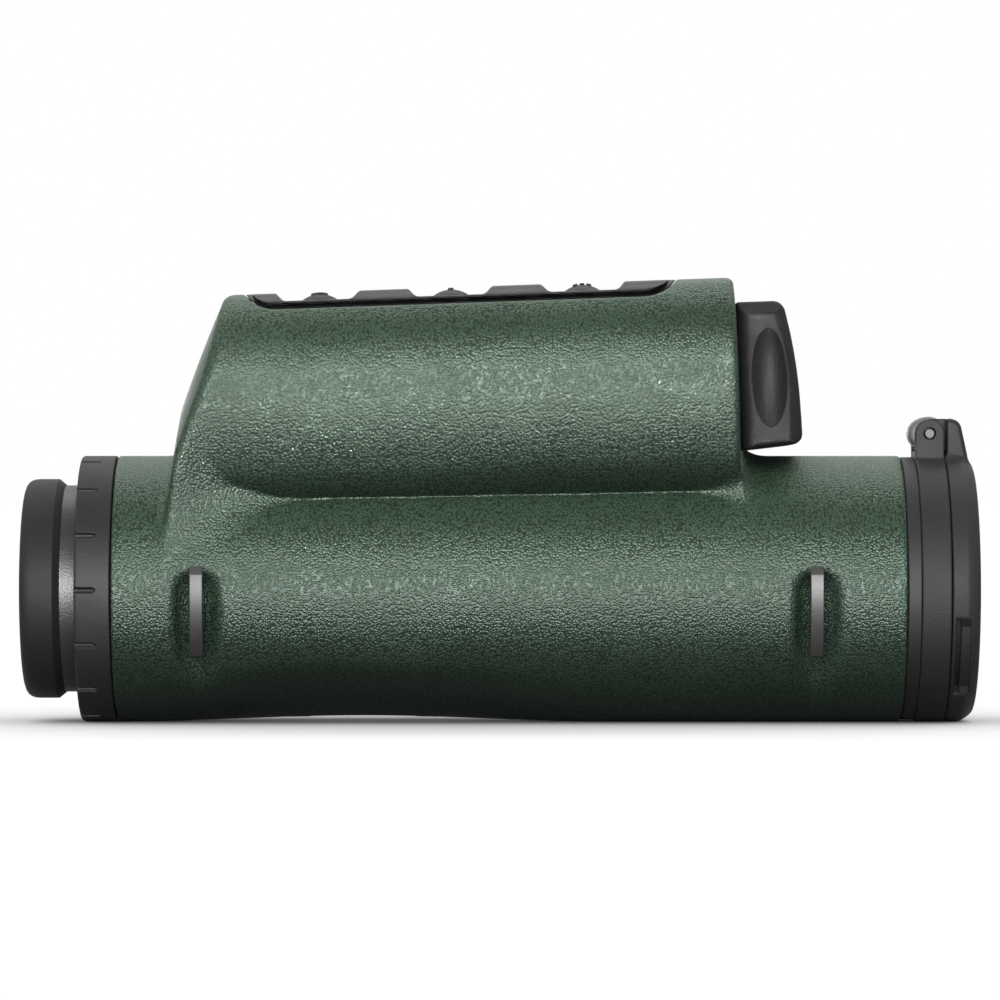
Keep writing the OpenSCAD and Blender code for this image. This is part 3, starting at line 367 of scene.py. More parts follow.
def rear_face(u, side, w):
    """Leaning rear face of the module, slightly bulged and bowed from side to side."""
    half_chord = math.sqrt(REAR_BULGE_R ** 2 - (REAR_BULGE_R - REAR_BULGE) ** 2)
    along = (-math.sin(REAR_LEAN), -math.cos(REAR_LEAN))
    inward = (math.cos(REAR_LEAN), -math.sin(REAR_LEAN))
    reach = REAR_BULGE_R - REAR_BULGE
    centre_u = MODULE_REAR + along[0] * half_chord + inward[0] * reach
    centre_w = MODULE_TOP + along[1] * half_chord + inward[1] * reach
    bow = REAR_BOW * (side / MODULE_HALF_W) ** 4
    return np.hypot(u - bow - centre_u, w - centre_w) - REAR_BULGE_R


def module_block(u, side, w):
    """Whole upper module."""
    field = round_max(module_section(side, w), w - MODULE_TOP, TOP_ROUND)
    field = round_max(field, rear_face(u, side, w), REAR_ROUND)
    return round_max(field, u - MODULE_FRONT, FRONT_ROUND)


def rear_foot(x, z):
    """Steep wall at the foot of the rear face."""
    return (FAIRING_X0 + FAIRING_LEAN * z - x) / math.hypot(1, FAIRING_LEAN)


def module_and_fairing(x, side, z, u, w):
    """Upper module with the wall that fills the corner between its rear flank and the tube."""
    slope = math.hypot(1, FAIRING_SLOPE)
    wall = (side - FAIRING_START_Y - FAIRING_SLOPE * (FAIRING_START_X - x)) / slope
    wall = np.maximum(wall, np.abs(z - FAIRING_MID_Z) - FAIRING_HALF_H)
    to_rear = np.clip((CREASE_END_X - x) / (CREASE_END_X - FAIRING_X0), 0, 1)
    blend = CREASE_BLEND + (REAR_BLEND - CREASE_BLEND) * to_rear
    flank = smooth_min(module_section(side, w), wall, blend)
    field = round_max(flank, w - MODULE_TOP, TOP_ROUND)
    field = round_max(field, np.maximum(rear_face(u, side, w), rear_foot(x, z)), REAR_ROUND)
    return round_max(field, u - MODULE_FRONT, FRONT_ROUND)


def panel_space(u, w):
    """Room of the top panel: flat floor, straight rear ramp and curved front ramp."""
    floor = np.hypot(np.maximum(u - PANEL_FLOOR_X1, 0), PANEL_Z0 + PANEL_RAMP_R - w) - PANEL_RAMP_R
    run, rise = PANEL_FLOOR_X0 - PANEL_X0, MODULE_TOP - PANEL_Z0
    ramp = -((u - PANEL_X0) * rise + (w - MODULE_TOP) * run) / math.hypot(run, rise)
    return round_max(floor, ramp, PANEL_REAR_ROUND)


def polar(y, z):
    """Radius and angle about the optical axis, the same on both sides, upwards from the horizontal."""
    return np.hypot(y, z), np.arctan2(z, np.abs(y))


def pockets(x, side, z):
    """Grooves behind the strap bars, running out soon above them and slowly below them."""
    radius, angle = polar(side, z)
    above = np.maximum(angle - BAR_ANGLE, 0) / POCKET_TOP_ANGLE
    below = np.maximum(BAR_ANGLE - angle, 0) / POCKET_LOW_ANGLE
    run_out = (TUBE_R - POCKET_R) * (above ** 4 + below ** 2)
    grooves = None
    for bar_x in BAR_X.values():
        groove = np.hypot(x - bar_x, radius - POCKET_R - POCKET_GROOVE_R - run_out) - POCKET_GROOVE_R
        grooves = groove if grooves is None else np.minimum(grooves, groove)
    return grooves


def armour_field(x, y, z):
    """Green skin of the tube and the module."""
    side = np.abs(y)
    radius = np.hypot(y, z)
    u, w = to_module(x, z)
    tube = round_max(radius - TUBE_R, slab(x, BODY_X0, BODY_X1), TUBE_EDGE)
    towards = side * math.cos(THUMB_ANGLE) - z * math.sin(THUMB_ANGLE)
    thumb_rest = np.hypot(x - THUMB_X, towards - (TUBE_R - THUMB_DEPTH + THUMB_R)) - THUMB_R
    outside = -smooth_min(-tube, thumb_rest, THUMB_SOFT)
    to_front = np.clip((u - MODULE_FRONT + FRONT_BLEND_L) / FRONT_BLEND_L, 0, 1)
    to_rear = np.clip((FAIRING_START_X - x) / (FAIRING_START_X - CREASE_END_X), 0, 1)
    to_rear = to_rear * np.clip((z - FAIRING_MID_Z + FAIRING_HALF_H) / FAIRING_FADE, 0, 1)
    blend = CREASE_BLEND + (FRONT_BLEND - CREASE_BLEND) * to_front ** 2
    blend = blend + (FAIRING_BLEND - CREASE_BLEND) * to_rear
    outside = smooth_min(outside, module_and_fairing(x, side, z, u, w), blend)
    outside = round_max(outside, -pockets(x, side, z), POCKET_EDGE)
    outside = round_max(outside, PANEL_GAP - panel_space(u, w), PANEL_SEAT_EDGE)
    hollow = np.maximum(module_block(u, side, w), rear_foot(x, z)) + SKIN
    inside = np.minimum(radius - TUBE_BORE, hollow)
    plug_hole = np.hypot(y, w - CAP_Z) - PLUG_R - PLUG_HOLE_GAP
    inside = np.minimum(inside, np.maximum(plug_hole, MODULE_FRONT - PLUG_HOLE_L - u))
    return np.maximum(outside, -inside)


def panel_field(x, y, z):
    """Black panel with three finger recesses, a groove along its foot and holes for the buttons."""
    side = np.abs(y)
    u, w = to_module(x, z)
    room = panel_space(u, w)
    top = round_max(module_block(u, side, w), room + PANEL_BAND, PANEL_EDGE)
    foot = np.maximum(np.maximum(module_section(side, w) + PANEL_GROOVE, w - MODULE_TOP), room)
    field = np.minimum(top, foot)
    slope = RECESS_RAMP / (MODULE_TOP - RECESS_Z)
    for button_x in BUTTON_X.values():
        end = (np.abs(u - button_x) - RECESS_HALF_L + slope * (MODULE_TOP - w)) / math.hypot(1, slope)
        recess = round_max(end, RECESS_Z - w, RECESS_ROUND)
        field = round_max(field, -recess, RECESS_EDGE)
        field = np.maximum(field, BUTTON_HOLE_R - np.hypot(u - button_x, y))
    return field


def touch_mark(place, u, y):
    """Plan of the mark on a key: a dash, a dot or three small dots."""
    if place == "rear":
        return np.maximum(np.abs(u) - DASH_HALF_L, np.abs(y) - DASH_HALF_W)
    if place == "middle":
        return np.hypot(u, y) - DOT_R
    to_dot = np.minimum(np.abs(u), np.abs(np.abs(u) - SMALL_DOT_PITCH))
    return np.hypot(to_dot, y) - SMALL_DOT_R


def button_field(place):
    """Domed key at a place along the panel, with its touch mark, flange and stem."""
    def field(x, y, z):
        u, w = to_module(x, z)
        u = u - BUTTON_X[place]
        radius = np.hypot(u, y)
        depth = PANEL_Z0 - w
        dome = np.hypot(radius, w - BUTTON_TOP + BUTTON_DOME_R) - BUTTON_DOME_R
        key = round_max(radius - BUTTON_R, dome, BUTTON_EDGE)
        key = round_max(key, depth - BUTTON_DROP, BUTTON_FOOT_EDGE)
        flange = round_max(radius - FLANGE_R, slab(depth, *FLANGE_DROP), FLANGE_EDGE)
        stem = np.maximum(radius - STEM_R, slab(depth, *STEM_DROP))
        mark = round_max(touch_mark(place, u, y), np.abs(dome) - MARK_H, MARK_EDGE)
        return np.minimum(np.minimum(round_min(key, mark, MARK_FILLET), flange), stem)
    return field


def cap_field(x, y, z):
    """Battery cap with bevelled sides, a finger scoop in each side and a plug."""
    u, w = to_module(x, z)
    corners = [(CAP_X0 + along, CAP_Z + up) for along, up in CAP_OUTLINE]
    lowered = [(cu, cw - CAP_BOTTOM_DROP if cw < CAP_Z else cw) for cu, cw in corners]
    outline = convex(u, w, corners, CAP_CORNER_R)
    scoop_u, scoop_w = CAP_SCOOP
    half_u, half_w = CAP_SCOOP_HALF
    dish = 1 - ((u - scoop_u) / half_u) ** 2 - ((w - scoop_w) / half_w) ** 2
    face = np.abs(y) - CAP_HALF_W + CAP_SCOOP_DEPTH * np.maximum(dish, 0)
    field = bevel_max(convex(u, w, lowered, CAP_CORNER_R), face, CAP_BEVEL, CAP_BEVEL_EDGE)
    field = np.maximum(field, round_max(face, CAP_X0 - u, CAP_FACE_ROUND))
    field = round_max(round_max(field, outline, CAP_EDGE), CAP_X0 - u, CAP_REAR_ROUND)
    radius = np.hypot(y, w - CAP_Z)
    plug = round_max(radius - PLUG_R, slab(u, PLUG_X0, PLUG_X1), PLUG_EDGE)
    groove = np.abs(u - SEAL_GROOVE_X) - SEAL_GROOVE_HALF_L
    groove = np.maximum(groove, PLUG_R - SEAL_GROOVE_DEPTH - radius)
    return np.minimum(field, np.maximum(plug, -groove))


def bar_field(bar_x):
    """Strap bar bent along the tube, with a slope at its upper end and a foot at each end."""
    def field(x, y, z):
        radius, angle = polar(y, z)
        past_end = (np.abs(angle - BAR_ANGLE) - BAR_HALF_ANGLE) * radius
        wide = np.abs(x - bar_x) - BAR_HALF_W
        foot = np.maximum(POCKET_R - BAR_FOOT_SINK - radius, -past_end - BAR_FOOT_ANGLE * radius)
        band = np.minimum(BAR_R0 - radius, foot)
        slope = np.where(angle > BAR_ANGLE, np.maximum(past_end / BAR_END_L + 1, 0), 0)
        top = radius - BAR_R1 + BAR_END_DROP * slope
        shape = round_max(round_max(past_end, top, BAR_EDGE), band, BAR_EDGE)
        return round_max(shape, wide, BAR_SIDE_EDGE)
    return field


def ring_field(x, y, z):
    """Ring that carries the cover, with two hinge ears and a stop between them."""
    radius = np.hypot(y, z)
    field = round_max(radius - TUBE_R, slab(x, RING_X0, RING_X1), RING_EDGE)
    field = round_max(field, RING_BORE - radius, RING_BORE_EDGE)
    ear = np.hypot(x - HINGE_X, np.maximum(z - HINGE_Z, 0)) - EAR_R
    ear = np.maximum(ear, TUBE_R - EAR_ROOT - z)
    ear = round_max(ear, slab(np.abs(y), EAR_Y0, EAR_Y1), EAR_EDGE)
    field = round_min(field, ear, EAR_FILLET)
    stop_x0 = HINGE_X - EAR_R
    stop = np.maximum(slab(x, stop_x0, stop_x0 + STOP_L), np.abs(y) - EAR_Y0 - STOP_OVERLAP)
    stop = np.maximum(stop, slab(z, TUBE_R - STOP_ROOT, TUBE_R + STOP_H))
    recess = np.hypot(x - HINGE_X, z - HINGE_Z) - PIN_RECESS_R
    return np.maximum(np.minimum(field, stop), -recess)


def lid_field(x, radius):
    """Dished lid of the cover with a bevelled rim and a plug ring behind it."""
    rim = round_max(radius - TUBE_R, COVER_X0 - x, COVER_EDGE)
    lid = bevel_max(rim, x - COVER_X1, COVER_FACE_BEVEL, COVER_FACE_EDGE)
    slant = (x - COVER_X1 + COVER_BEVEL) * math.sin(COVER_BEVEL_ANGLE)
    slant = slant + (radius - TUBE_R) * math.cos(COVER_BEVEL_ANGLE)
    lid = round_max(lid, slant, COVER_BEVEL_EDGE)
    hollow = np.maximum(radius - COVER_PLUG_R0, x - (COVER_X1 - COVER_PLATE_T))
    plug = np.maximum(radius - COVER_PLUG_R1, COVER_PLUG_R0 - radius)
    plug = np.maximum(plug, np.abs(x - COVER_X0) - COVER_PLUG_HALF_L)
    return np.maximum(lid, -hollow), plug


def grip_field(x, radius, angle):
    """Finger ledge in the side of the cover, with a deeper groove behind it."""
    along = (np.abs(angle - GRIP_ANGLE) - GRIP_HALF_ANGLE) * radius
    ramp = np.maximum(along + GRIP_RAMP, 0) * GRIP_RAMP_SLOPE
    ledge = np.maximum(along, TUBE_R - GRIP_DEPTH - radius + ramp)
    ledge = np.maximum(ledge, slab(x, GRIP_X0, GRIP_X1))
    groove = np.maximum(along + GRIP_GROOVE_INSET, TUBE_R - 2 * GRIP_DEPTH - radius)
    groove = np.maximum(groove, slab(x, GRIP_X0, GRIP_X0 + GRIP_GROOVE))
    return np.minimum(ledge, groove)


def cover_field(x, y, z):
    """Flip-up cover: lid with its plug ring, hinge tab, arm to the knuckle and side grips."""
    radius, angle = polar(y, z)
    lid, plug = lid_field(x, radius)
    tab_x0 = COVER_X0 - TAB_REACH
    front = [(COVER_X1 - back, up) for back, up in TAB_FRONT]
    corners = [(tab_x0, front[0][1]), *front, (tab_x0, front[-1][1])]
    tab = bevel_max(convex(x, z, corners, TAB_CORNER_R), np.abs(y) - EAR_Y1, TAB_BEVEL, TAB_EDGE)
    tab = round_max(tab, COVER_X0 + TAB_SETBACK - x, TAB_REAR_EDGE)
    arm = np.abs(x - (HINGE_X + COVER_X0) / 2) - ARM_HALF_L
    arm = np.maximum(arm, np.abs(z - ARM_Z) - ARM_HALF_H)
    arm = round_max(arm, np.abs(y) - KNUCKLE_HALF_W, ARM_EDGE)
    field = np.minimum(np.minimum(round_min(lid, tab, TAB_FILLET), plug), arm)
    field = round_max(field, -grip_field(x, radius, angle), GRIP_EDGE)
    pin_hole = np.hypot(x - HINGE_X, z - HINGE_Z) - PIN_R - PIN_GAP
    return np.maximum(field, -pin_hole)


def knuckle_field(x, y, z):
    """Bare hinge barrel of the cover, between the ears."""
    behind = np.minimum(x - HINGE_X, 0) * KNUCKLE_SQUEEZE
    barrel = np.hypot(behind + np.maximum(x - HINGE_X, 0), z - HINGE_Z) - KNUCKLE_R
    barrel = round_max(barrel, np.abs(y) - KNUCKLE_HALF_W, KNUCKLE_ROUND)
    return np.maximum(barrel, PIN_R + PIN_GAP - np.hypot(x - HINGE_X, z - HINGE_Z))


def pin_field(x, y, z):
    """Hinge pin with a flat head at each end."""
    radius = np.hypot(x - HINGE_X, z - HINGE_Z)
    end = np.abs(y) - EAR_Y1 + PIN_SINK
    head = np.maximum(radius - PIN_HEAD_R, -PIN_HEAD_L - end)
    return round_max(np.minimum(radius - PIN_R, head), end, PIN_EDGE)


def focus_field(x, y, z):
    """Focus ring with thumb notches cut in from its rear edge."""
    radius = np.hypot(y, z)
    outer = round_max(radius - TUBE_R, FOCUS_X0 - x, FOCUS_REAR_EDGE)
    outer = round_max(outer, x - FOCUS_X1, FOCUS_FRONT_EDGE)
    step_x = FOCUS_X0 + (FOCUS_X1 - FOCUS_X0) * FOCUS_STEP
    bore = np.where(x < step_x, FOCUS_REAR_BORE, FOCUS_FRONT_BORE)
    field = round_max(outer, bore - radius, FOCUS_BORE_EDGE)
    pitch = 2 * math.pi / NOTCHES
    across = (np.mod(np.arctan2(z, -y) + pitch / 2, pitch) - pitch / 2) * radius
    beyond = np.maximum(x - FOCUS_X0 - NOTCH_L, 0) * NOTCH_TAPER
    notch = np.hypot(np.hypot(across, radius - TUBE_R + NOTCH_SINK), beyond) - NOTCH_R
    return round_max(field, -notch, NOTCH_EDGE)


# Meshing

def gradient(field, points, reach=0.02):
    """Slope of a field at points."""
    slope = np.empty_like(points)
    for axis in range(3):
        ahead, behind = points.copy(), points.copy()
        ahead[:, axis] += reach
        behind[:, axis] -= reach
        slope[:, axis] = (field(*ahead.T) - field(*behind.T)) / (2 * reach)
    return slope


def surface_net(values, axes):
    """Points and four-sided faces on the zero level of a grid of values."""
    inside = values < 0
    nx, ny, nz = (n - 1 for n in values.shape)
    count = np.zeros((nx, ny, nz), np.int8)
    for i, j, k in product((0, 1), repeat=3):
        count += inside[i:i + nx, j:j + ny, k:k + nz]
    crossed = (count > 0) & (count < 8)
    cells = np.argwhere(crossed)
    number = np.full(crossed.shape, -1)
    number[crossed] = np.arange(len(cells))
    total = np.zeros((len(cells), 3))
    hits = np.zeros(len(cells))
    unit = np.eye(3, dtype=int)
    faces = []
    for axis in range(3):
        first, second = (unit[i] for i in range(3) if i != axis)
        for a, b in product((0, 1), repeat=2):
            start = cells + a * first + b * second
            v0 = values[tuple(start.T)]
            v1 = values[tuple((start + unit[axis]).T)]
            cut = (v0 < 0) != (v1 < 0)
            share = np.where(cut, v0, 0) / np.where(cut, v0 - v1, 1)
            total[cut] += (start + share[:, None] * unit[axis])[cut]
            hits += cut
        begins = np.take(inside, range(inside.shape[axis] - 1), axis)
        ends = np.take(inside, range(1, inside.shape[axis]), axis)
        edges = np.argwhere(begins != ends)
        corners = [edges - first - second, edges - second, edges, edges - first]
        quads = np.stack([number[tuple(corner.T)] for corner in corners], 1)
        outward = begins[tuple(edges.T)] != (axis == 1)
        quads[~outward] = quads[~outward][:, ::-1]
        faces.append(quads)
    place = total / hits[:, None]
    low = np.array([axis_values[0] for axis_values in axes])
    step = axes[0][1] - axes[0][0]
    return low + place * step, np.concatenate(faces)


def mesh_field(name, field, low, high, step, settle_rounds=4):
    """Mesh of a field inside a box, with points settled on its surface and normals from its slope."""
    axes = [np.arange(a - 1.5 * step, b + 2.5 * step, step) for a, b in zip(low, high)]
    grid = np.meshgrid(*axes, indexing="ij", sparse=True)
    values = np.broadcast_to(field(*grid), [len(a) for a in axes])
    points, faces = surface_net(values, axes)
    if faces.min() < 0:
        raise ValueError(f"{name} reaches past its box")
    for _ in range(settle_rounds):
        slope = gradient(field, points)
        size = np.maximum((slope ** 2).sum(1), 0.2)
        move = np.clip(field(*points.T) / size, -step / 2, step / 2)
        points -= move[:, None] * slope
    slope = gradient(field, points)
    normals = slope / np.maximum(np.linalg.norm(slope, axis=1), 1e-9)[:, None]
    return mesh_object(name, points, faces, normals)


def mesh_object(name, points, faces, normals=None):
    """Object from points in millimetres about the optical axis."""
    mesh = bpy.data.meshes.new(name)
    world = (np.asarray(points) + (0, 0, AXIS_Z)) * MM
    mesh.from_pydata(world.tolist(), [], np.asarray(faces).tolist())
    mesh.polygons.foreach_set("use_smooth", np.ones(len(mesh.polygons), bool))
    mesh.update()
    if normals is not None:
        mesh.normals_split_custom_set_from_vertices(normals.tolist())
    made = bpy.data.objects.new(name, mesh)
    bpy.context.scene.collection.objects.link(made)
    return made


def rounded(corners, steps=6):
    """Closed outline of points [x, r], each corner given as (x, r, radius of its rounding)."""
    outline = []
    count = len(corners)
    for i, (x, r, size) in enumerate(corners):
        here = Vector((x, r))
        back = (Vector(corners[i - 1][:2]) - here).normalized()
        ahead = (Vector(corners[(i + 1) % count][:2]) - here).normalized()
        if size <= 0:
            outline.append(here)
            continue
        half = back.angle(ahead) / 2
        reach = size / math.tan(half)
        start, end = here + back * reach, here + ahead * reach
        for step in range(steps + 1):
            t = step / steps
            outline.append(start * (1 - t) ** 2 + here * 2 * t * (1 - t) + end * t ** 2)
    return outline


def lathe(name, outline, segments=240, sharp_angle=35):
    """Turned piece about the optical axis from a closed outline of points [x, r]."""
    points, faces = [], []
    count = len(outline)
    for k in range(segments):
        turn = 2 * math.pi * k / segments
        points += [(x, r * math.cos(turn), r * math.sin(turn)) for x, r in outline]
        here, there = k * count, (k + 1) % segments * count
        for i in range(count):
            j = (i + 1) % count
            faces.append((here + i, here + j, there + j, there + i))
    made = mesh_object(name, points, faces)
    made.data.set_sharp_from_angle(angle=math.radians(sharp_angle))
    return made


# Materials

def add_node(tree, kind, inputs=None, **settings):
    """New shader node with its settings and unlinked inputs."""
    made = tree.nodes.new(kind)
    for key, value in settings.items():
        setattr(made, key, value)
    for key, value in (inputs or {}).items():
        made.inputs[key].default_value = value
    return made


def texture(tree, kind, scale, **inputs):
    """Solid texture in the part's own coordinates, with its scale in features per metre."""
    where = add_node(tree, "ShaderNodeTexCoord")
    made = add_node(tree, kind, {"Scale": scale, **inputs})
    tree.links.new(where.outputs["Object"], made.inputs["Vector"])
    return made


NOISE_RANGE = {"From Min": 0.3, "From Max": 0.7}


def finish(name, colour, roughness, specular=0.3, tint=(1, 1, 1), metallic=0.0, scatter=0.06,
           mottle=(60, 0.12), grain=(9000, 0.003), pebbled=False, cavity=1.0, **sockets):
    """Procedural material with mottled colour, uneven gloss and bumps.

    mottle is (features per metre, share of the colour) and grain is (features per metre, height in mm).
    Bumps are waves, or round pebbles with creases between them. The colour is multiplied by the hollow-shade
    factor at the bottom of the bumps and by 2 minus it at their tops: painted shade in the hollows, painted light
    on the tops.
    """
    material = bpy.data.materials.new(name)
    material.use_nodes = True
    tree = material.node_tree
    shader = tree.nodes["Principled BSDF"]
    shader.inputs["Metallic"].default_value = metallic
    shader.inputs["Specular IOR Level"].default_value = specular
    shader.inputs["Specular Tint"].default_value = (*tint, 1)
    for socket, value in sockets.items():
        shader.inputs[socket.replace("_", " ")].default_value = value
    cloud_scale, contrast = mottle
    cloud = texture(tree, "ShaderNodeTexNoise", cloud_scale, Detail=4.0, Roughness=0.6)
    ramp = add_node(tree, "ShaderNodeValToRGB")
    ends = zip(ramp.color_ramp.elements, NOISE_RANGE.values(), (1 - contrast, 1 + contrast))
    for element, position, level in ends:
        element.position = position
        element.color = (*(c * level for c in colour), 1)
    tree.links.new(cloud.outputs["Fac"], ramp.inputs["Fac"])
    paint = add_node(tree, "ShaderNodeVectorMath", operation="SCALE")
    tree.links.new(ramp.outputs["Color"], paint.inputs[0])
    tree.links.new(paint.outputs["Vector"], shader.inputs["Base Color"])
    gloss_range = {"To Min": roughness - scatter, "To Max": roughness + scatter}
    gloss = add_node(tree, "ShaderNodeMapRange", NOISE_RANGE | gloss_range)
    tree.links.new(cloud.outputs["Fac"], gloss.inputs["Value"])
    tree.links.new(gloss.outputs["Result"], shader.inputs["Roughness"])
    scale, height = grain
    if pebbled:
        bumps = texture(tree, "ShaderNodeTexVoronoi", scale, Randomness=0.9).outputs["Distance"]
        ridge = add_node(tree, "ShaderNodeMapRange", {"From Max": 0.9, "To Min": 1.0, "To Max": 0.0},
                         interpolation_type="SMOOTHSTEP")
    else:
        bumps = texture(tree, "ShaderNodeTexNoise", scale, Detail=1.0).outputs["Fac"]
        ridge = add_node(tree, "ShaderNodeMapRange", NOISE_RANGE)
    bump = add_node(tree, "ShaderNodeBump", {"Strength": 1.0, "Distance": height * MM})
    tree.links.new(bumps, ridge.inputs["Value"])
    tree.links.new(ridge.outputs["Result"], bump.inputs["Height"])
    tree.links.new(bump.outputs["Normal"], shader.inputs["Normal"])
    # Painted shade and light: the bump height darkens the colour in the hollows and lightens it on the tops
    depth = add_node(tree, "ShaderNodeMapRange", {"To Min": cavity, "To Max": 2 - cavity})
    tree.links.new(ridge.outputs["Result"], depth.inputs["Value"])
    tree.links.new(depth.outputs["Result"], paint.inputs["Scale"])
    return material


FINE = (5000, 0.01)

LOOKS = {
    # The armour's pebbles get strong painted shade in their creases and painted light on their tops
    "armour_rubber": dict(colour=(0.041, 0.076, 0.047), roughness=0.4, specular=0.15, tint=(0.81, 1, 0.87),
                          mottle=(45, 0.08), grain=(2600, 0.08), pebbled=True, cavity=0.35),
    "housing_plastic": dict(colour=(0.02, 0.021, 0.02), roughness=0.6, grain=FINE),
    "panel_plastic": dict(colour=(0.016, 0.016, 0.0162), roughness=0.4, specular=0.08),
    "button_rubber": dict(colour=(0.016, 0.016, 0.0162), roughness=0.45, specular=0.08, grain=FINE),
    "seal_rubber": dict(colour=(0.02, 0.02, 0.02), roughness=0.6, grain=FINE),
    "switch_metal": dict(colour=(0.5, 0.5, 0.5), roughness=0.35, specular=0.5, metallic=1.0),
    "board_green": dict(colour=(0.012, 0.09, 0.03), roughness=0.4, specular=0.5),
    "chip_black": dict(colour=(0.01, 0.01, 0.01), roughness=0.5, grain=FINE),
    "steel": dict(colour=(0.22, 0.22, 0.215), roughness=0.45, specular=0.12),
    "cell_wrap": dict(colour=(0.05, 0.07, 0.16), roughness=0.35, specular=0.5),
    "contact_brass": dict(colour=(0.6, 0.42, 0.16), roughness=0.3, specular=0.5, metallic=1.0),
    "cap_plastic": dict(colour=(0.02, 0.02, 0.0205), roughness=0.6, specular=0.08, grain=(3500, 0.02)),
    "bar_metal": dict(colour=(0.03, 0.0295, 0.03), roughness=0.45, specular=0.2),
    "cell_black": dict(colour=(0.008, 0.008, 0.008), roughness=0.7, grain=FINE),
    "lens_glass": dict(colour=(0.9, 0.95, 0.92), roughness=0.03, specular=0.5, scatter=0.01,
                       mottle=(8, 0.02), grain=(60, 0.001), Transmission_Weight=1.0, IOR=1.5,
                       Coat_Weight=1.0, Coat_Tint=(0.5, 0.85, 0.6, 1)),
    "ring_grey": dict(colour=(0.032, 0.032, 0.0325), roughness=0.55, specular=0.1),
    "cover_plastic": dict(colour=(0.035, 0.035, 0.0355), roughness=0.6, specular=0.09, grain=(3500, 0.02)),
    "focus_black": dict(colour=(0.028, 0.028, 0.0285), roughness=0.58, specular=0.1, grain=(4500, 0.015)),
    "cam_metal": dict(colour=(0.4, 0.4, 0.41), roughness=0.35, specular=0.5, metallic=1.0),
    "eyecup_rubber": dict(colour=(0.024, 0.024, 0.0245), roughness=0.62, specular=0.08,
                          grain=(4500, 0.012)),
    "sleeve_metal": dict(colour=(0.02, 0.02, 0.02), roughness=0.45, specular=0.27, grain=(5200, 0.02)),
    "glide_plastic": dict(colour=(0.5, 0.5, 0.48), roughness=0.5, grain=FINE),
    "laser_metal": dict(colour=(0.5, 0.45, 0.3), roughness=0.3, specular=0.5, metallic=1.0),
    "display_black": dict(colour=(0.01, 0.01, 0.015), roughness=0.25, specular=0.5),
    "ribbon_film": dict(colour=(0.5, 0.2, 0.04), roughness=0.4, specular=0.5),
}
FINISHES = {name: finish(name, **look) for name, look in LOOKS.items()}
SLOT_OF = {row["node"]: row["material_slot"] for row in frame["record"]["subparts"]}
BODIES = frame["record"]["behaviour"]["bodies"]
BODY_OF = {node: body for body, nodes in BODIES.items() for node in nodes}

for node, cad_object in frame["nodes"].items():
    cad_object.data.materials.clear()
    cad_object.data.materials.append(FINISHES[SLOT_OF[node]])


# Pieces

def dress(piece, node):
    """Piece takes the place, the motion and the finish of a CAD node."""
    piece.data.materials.append(FINISHES[SLOT_OF[node]])
    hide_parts(node)
    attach(piece, BODY_OF[node])


def dress_field(node, field, step, grow=0.0):
    """Piece for a CAD node from a field inside the node's box."""
    low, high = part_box(node)
    low = np.array(low) / MM - (0, 0, AXIS_Z) - grow
    high = np.array(high) / MM - (0, 0, AXIS_Z) + grow
    dress(mesh_field("visual_" + node, field, low, high, step), node)


def cover_knuckle():
    """Bare metal barrel of the cover's hinge, a piece of its own."""
    centre = np.array((HINGE_X, 0, HINGE_Z))
    half = np.array((KNUCKLE_R / KNUCKLE_SQUEEZE, KNUCKLE_HALF_W, KNUCKLE_R))
    piece = mesh_field("visual_cover_knuckle", knuckle_field, centre - half, centre + half, step=0.12)
    piece.data.materials.append(FINISHES["steel"])
    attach(piece, "cover")


def strap_bar(end, side):
    """Strap bar on one side: its field is cut to that side of the body."""
    whole = bar_field(BAR_X[end])
    sign = -1 if side == "right" else 1

    def half(x, y, z):
        return np.maximum(whole(x, y, z), -sign * y)

    dress_field(f"strap_bar_{end}_{side}", half, step=0.15, grow=0.7)


dress_field("armour", armour_field, step=0.5)
dress_field("top_panel", panel_field, step=0.2)
dress_field("battery_cap", cap_field, step=0.22)
dress_field("cover_ring", ring_field, step=0.3)
dress_field("objective_cover", cover_field, step=0.2, grow=0.5)
dress_field("hinge_pin", pin_field, step=0.1, grow=0.2)
cover_knuckle()
dress_field("focus_ring", focus_field, step=0.2)
for button in BUTTON_X:
    dress_field("button_" + button, button_field(button), step=0.15)
for bar_end, bar_side in product(BAR_X, ("right", "left")):
    strap_bar(bar_end, bar_side)

cup_outline = rounded([
    (CUP_X0, CUP_MOUTH_R, 0.9), (CUP_X0, CUP_R, 2.2), (CUP_X1 - CUP_CHAMFER, CUP_R, 0.25),
    (CUP_X1, CUP_CHAMFER_R, 0), (CUP_X1, CUP_BORE_R, 0), (CUP_X0 + CUP_LIP_T, CUP_BORE_R, 0),
    (CUP_X0 + CUP_LIP_T, CUP_MOUTH_R, 0.3),
])
dress(lathe("visual_eyecup", cup_outline), "eyecup")

collar_x0 = BODY_X1 + BEZEL_GAP
collar_x1 = RING_X0 - BEZEL_GAP
bezel_outline = rounded([
    (BEZEL_X0, BEZEL_BORE_R, 0), (BEZEL_X0, BEZEL_SEAT_R, 0), (collar_x0, BEZEL_SEAT_R, 0),
    (collar_x0, BEZEL_R, 0.35), (collar_x1, BEZEL_R, 0.25), (collar_x1, BEZEL_NECK_R, 0),
    (BEZEL_X1, BEZEL_NECK_R, 0.2), (BEZEL_X1, BEZEL_BORE_R, 0.2),
])
dress(lathe("visual_objective_bezel", bezel_outline), "objective_bezel")


# Floor, light and camera

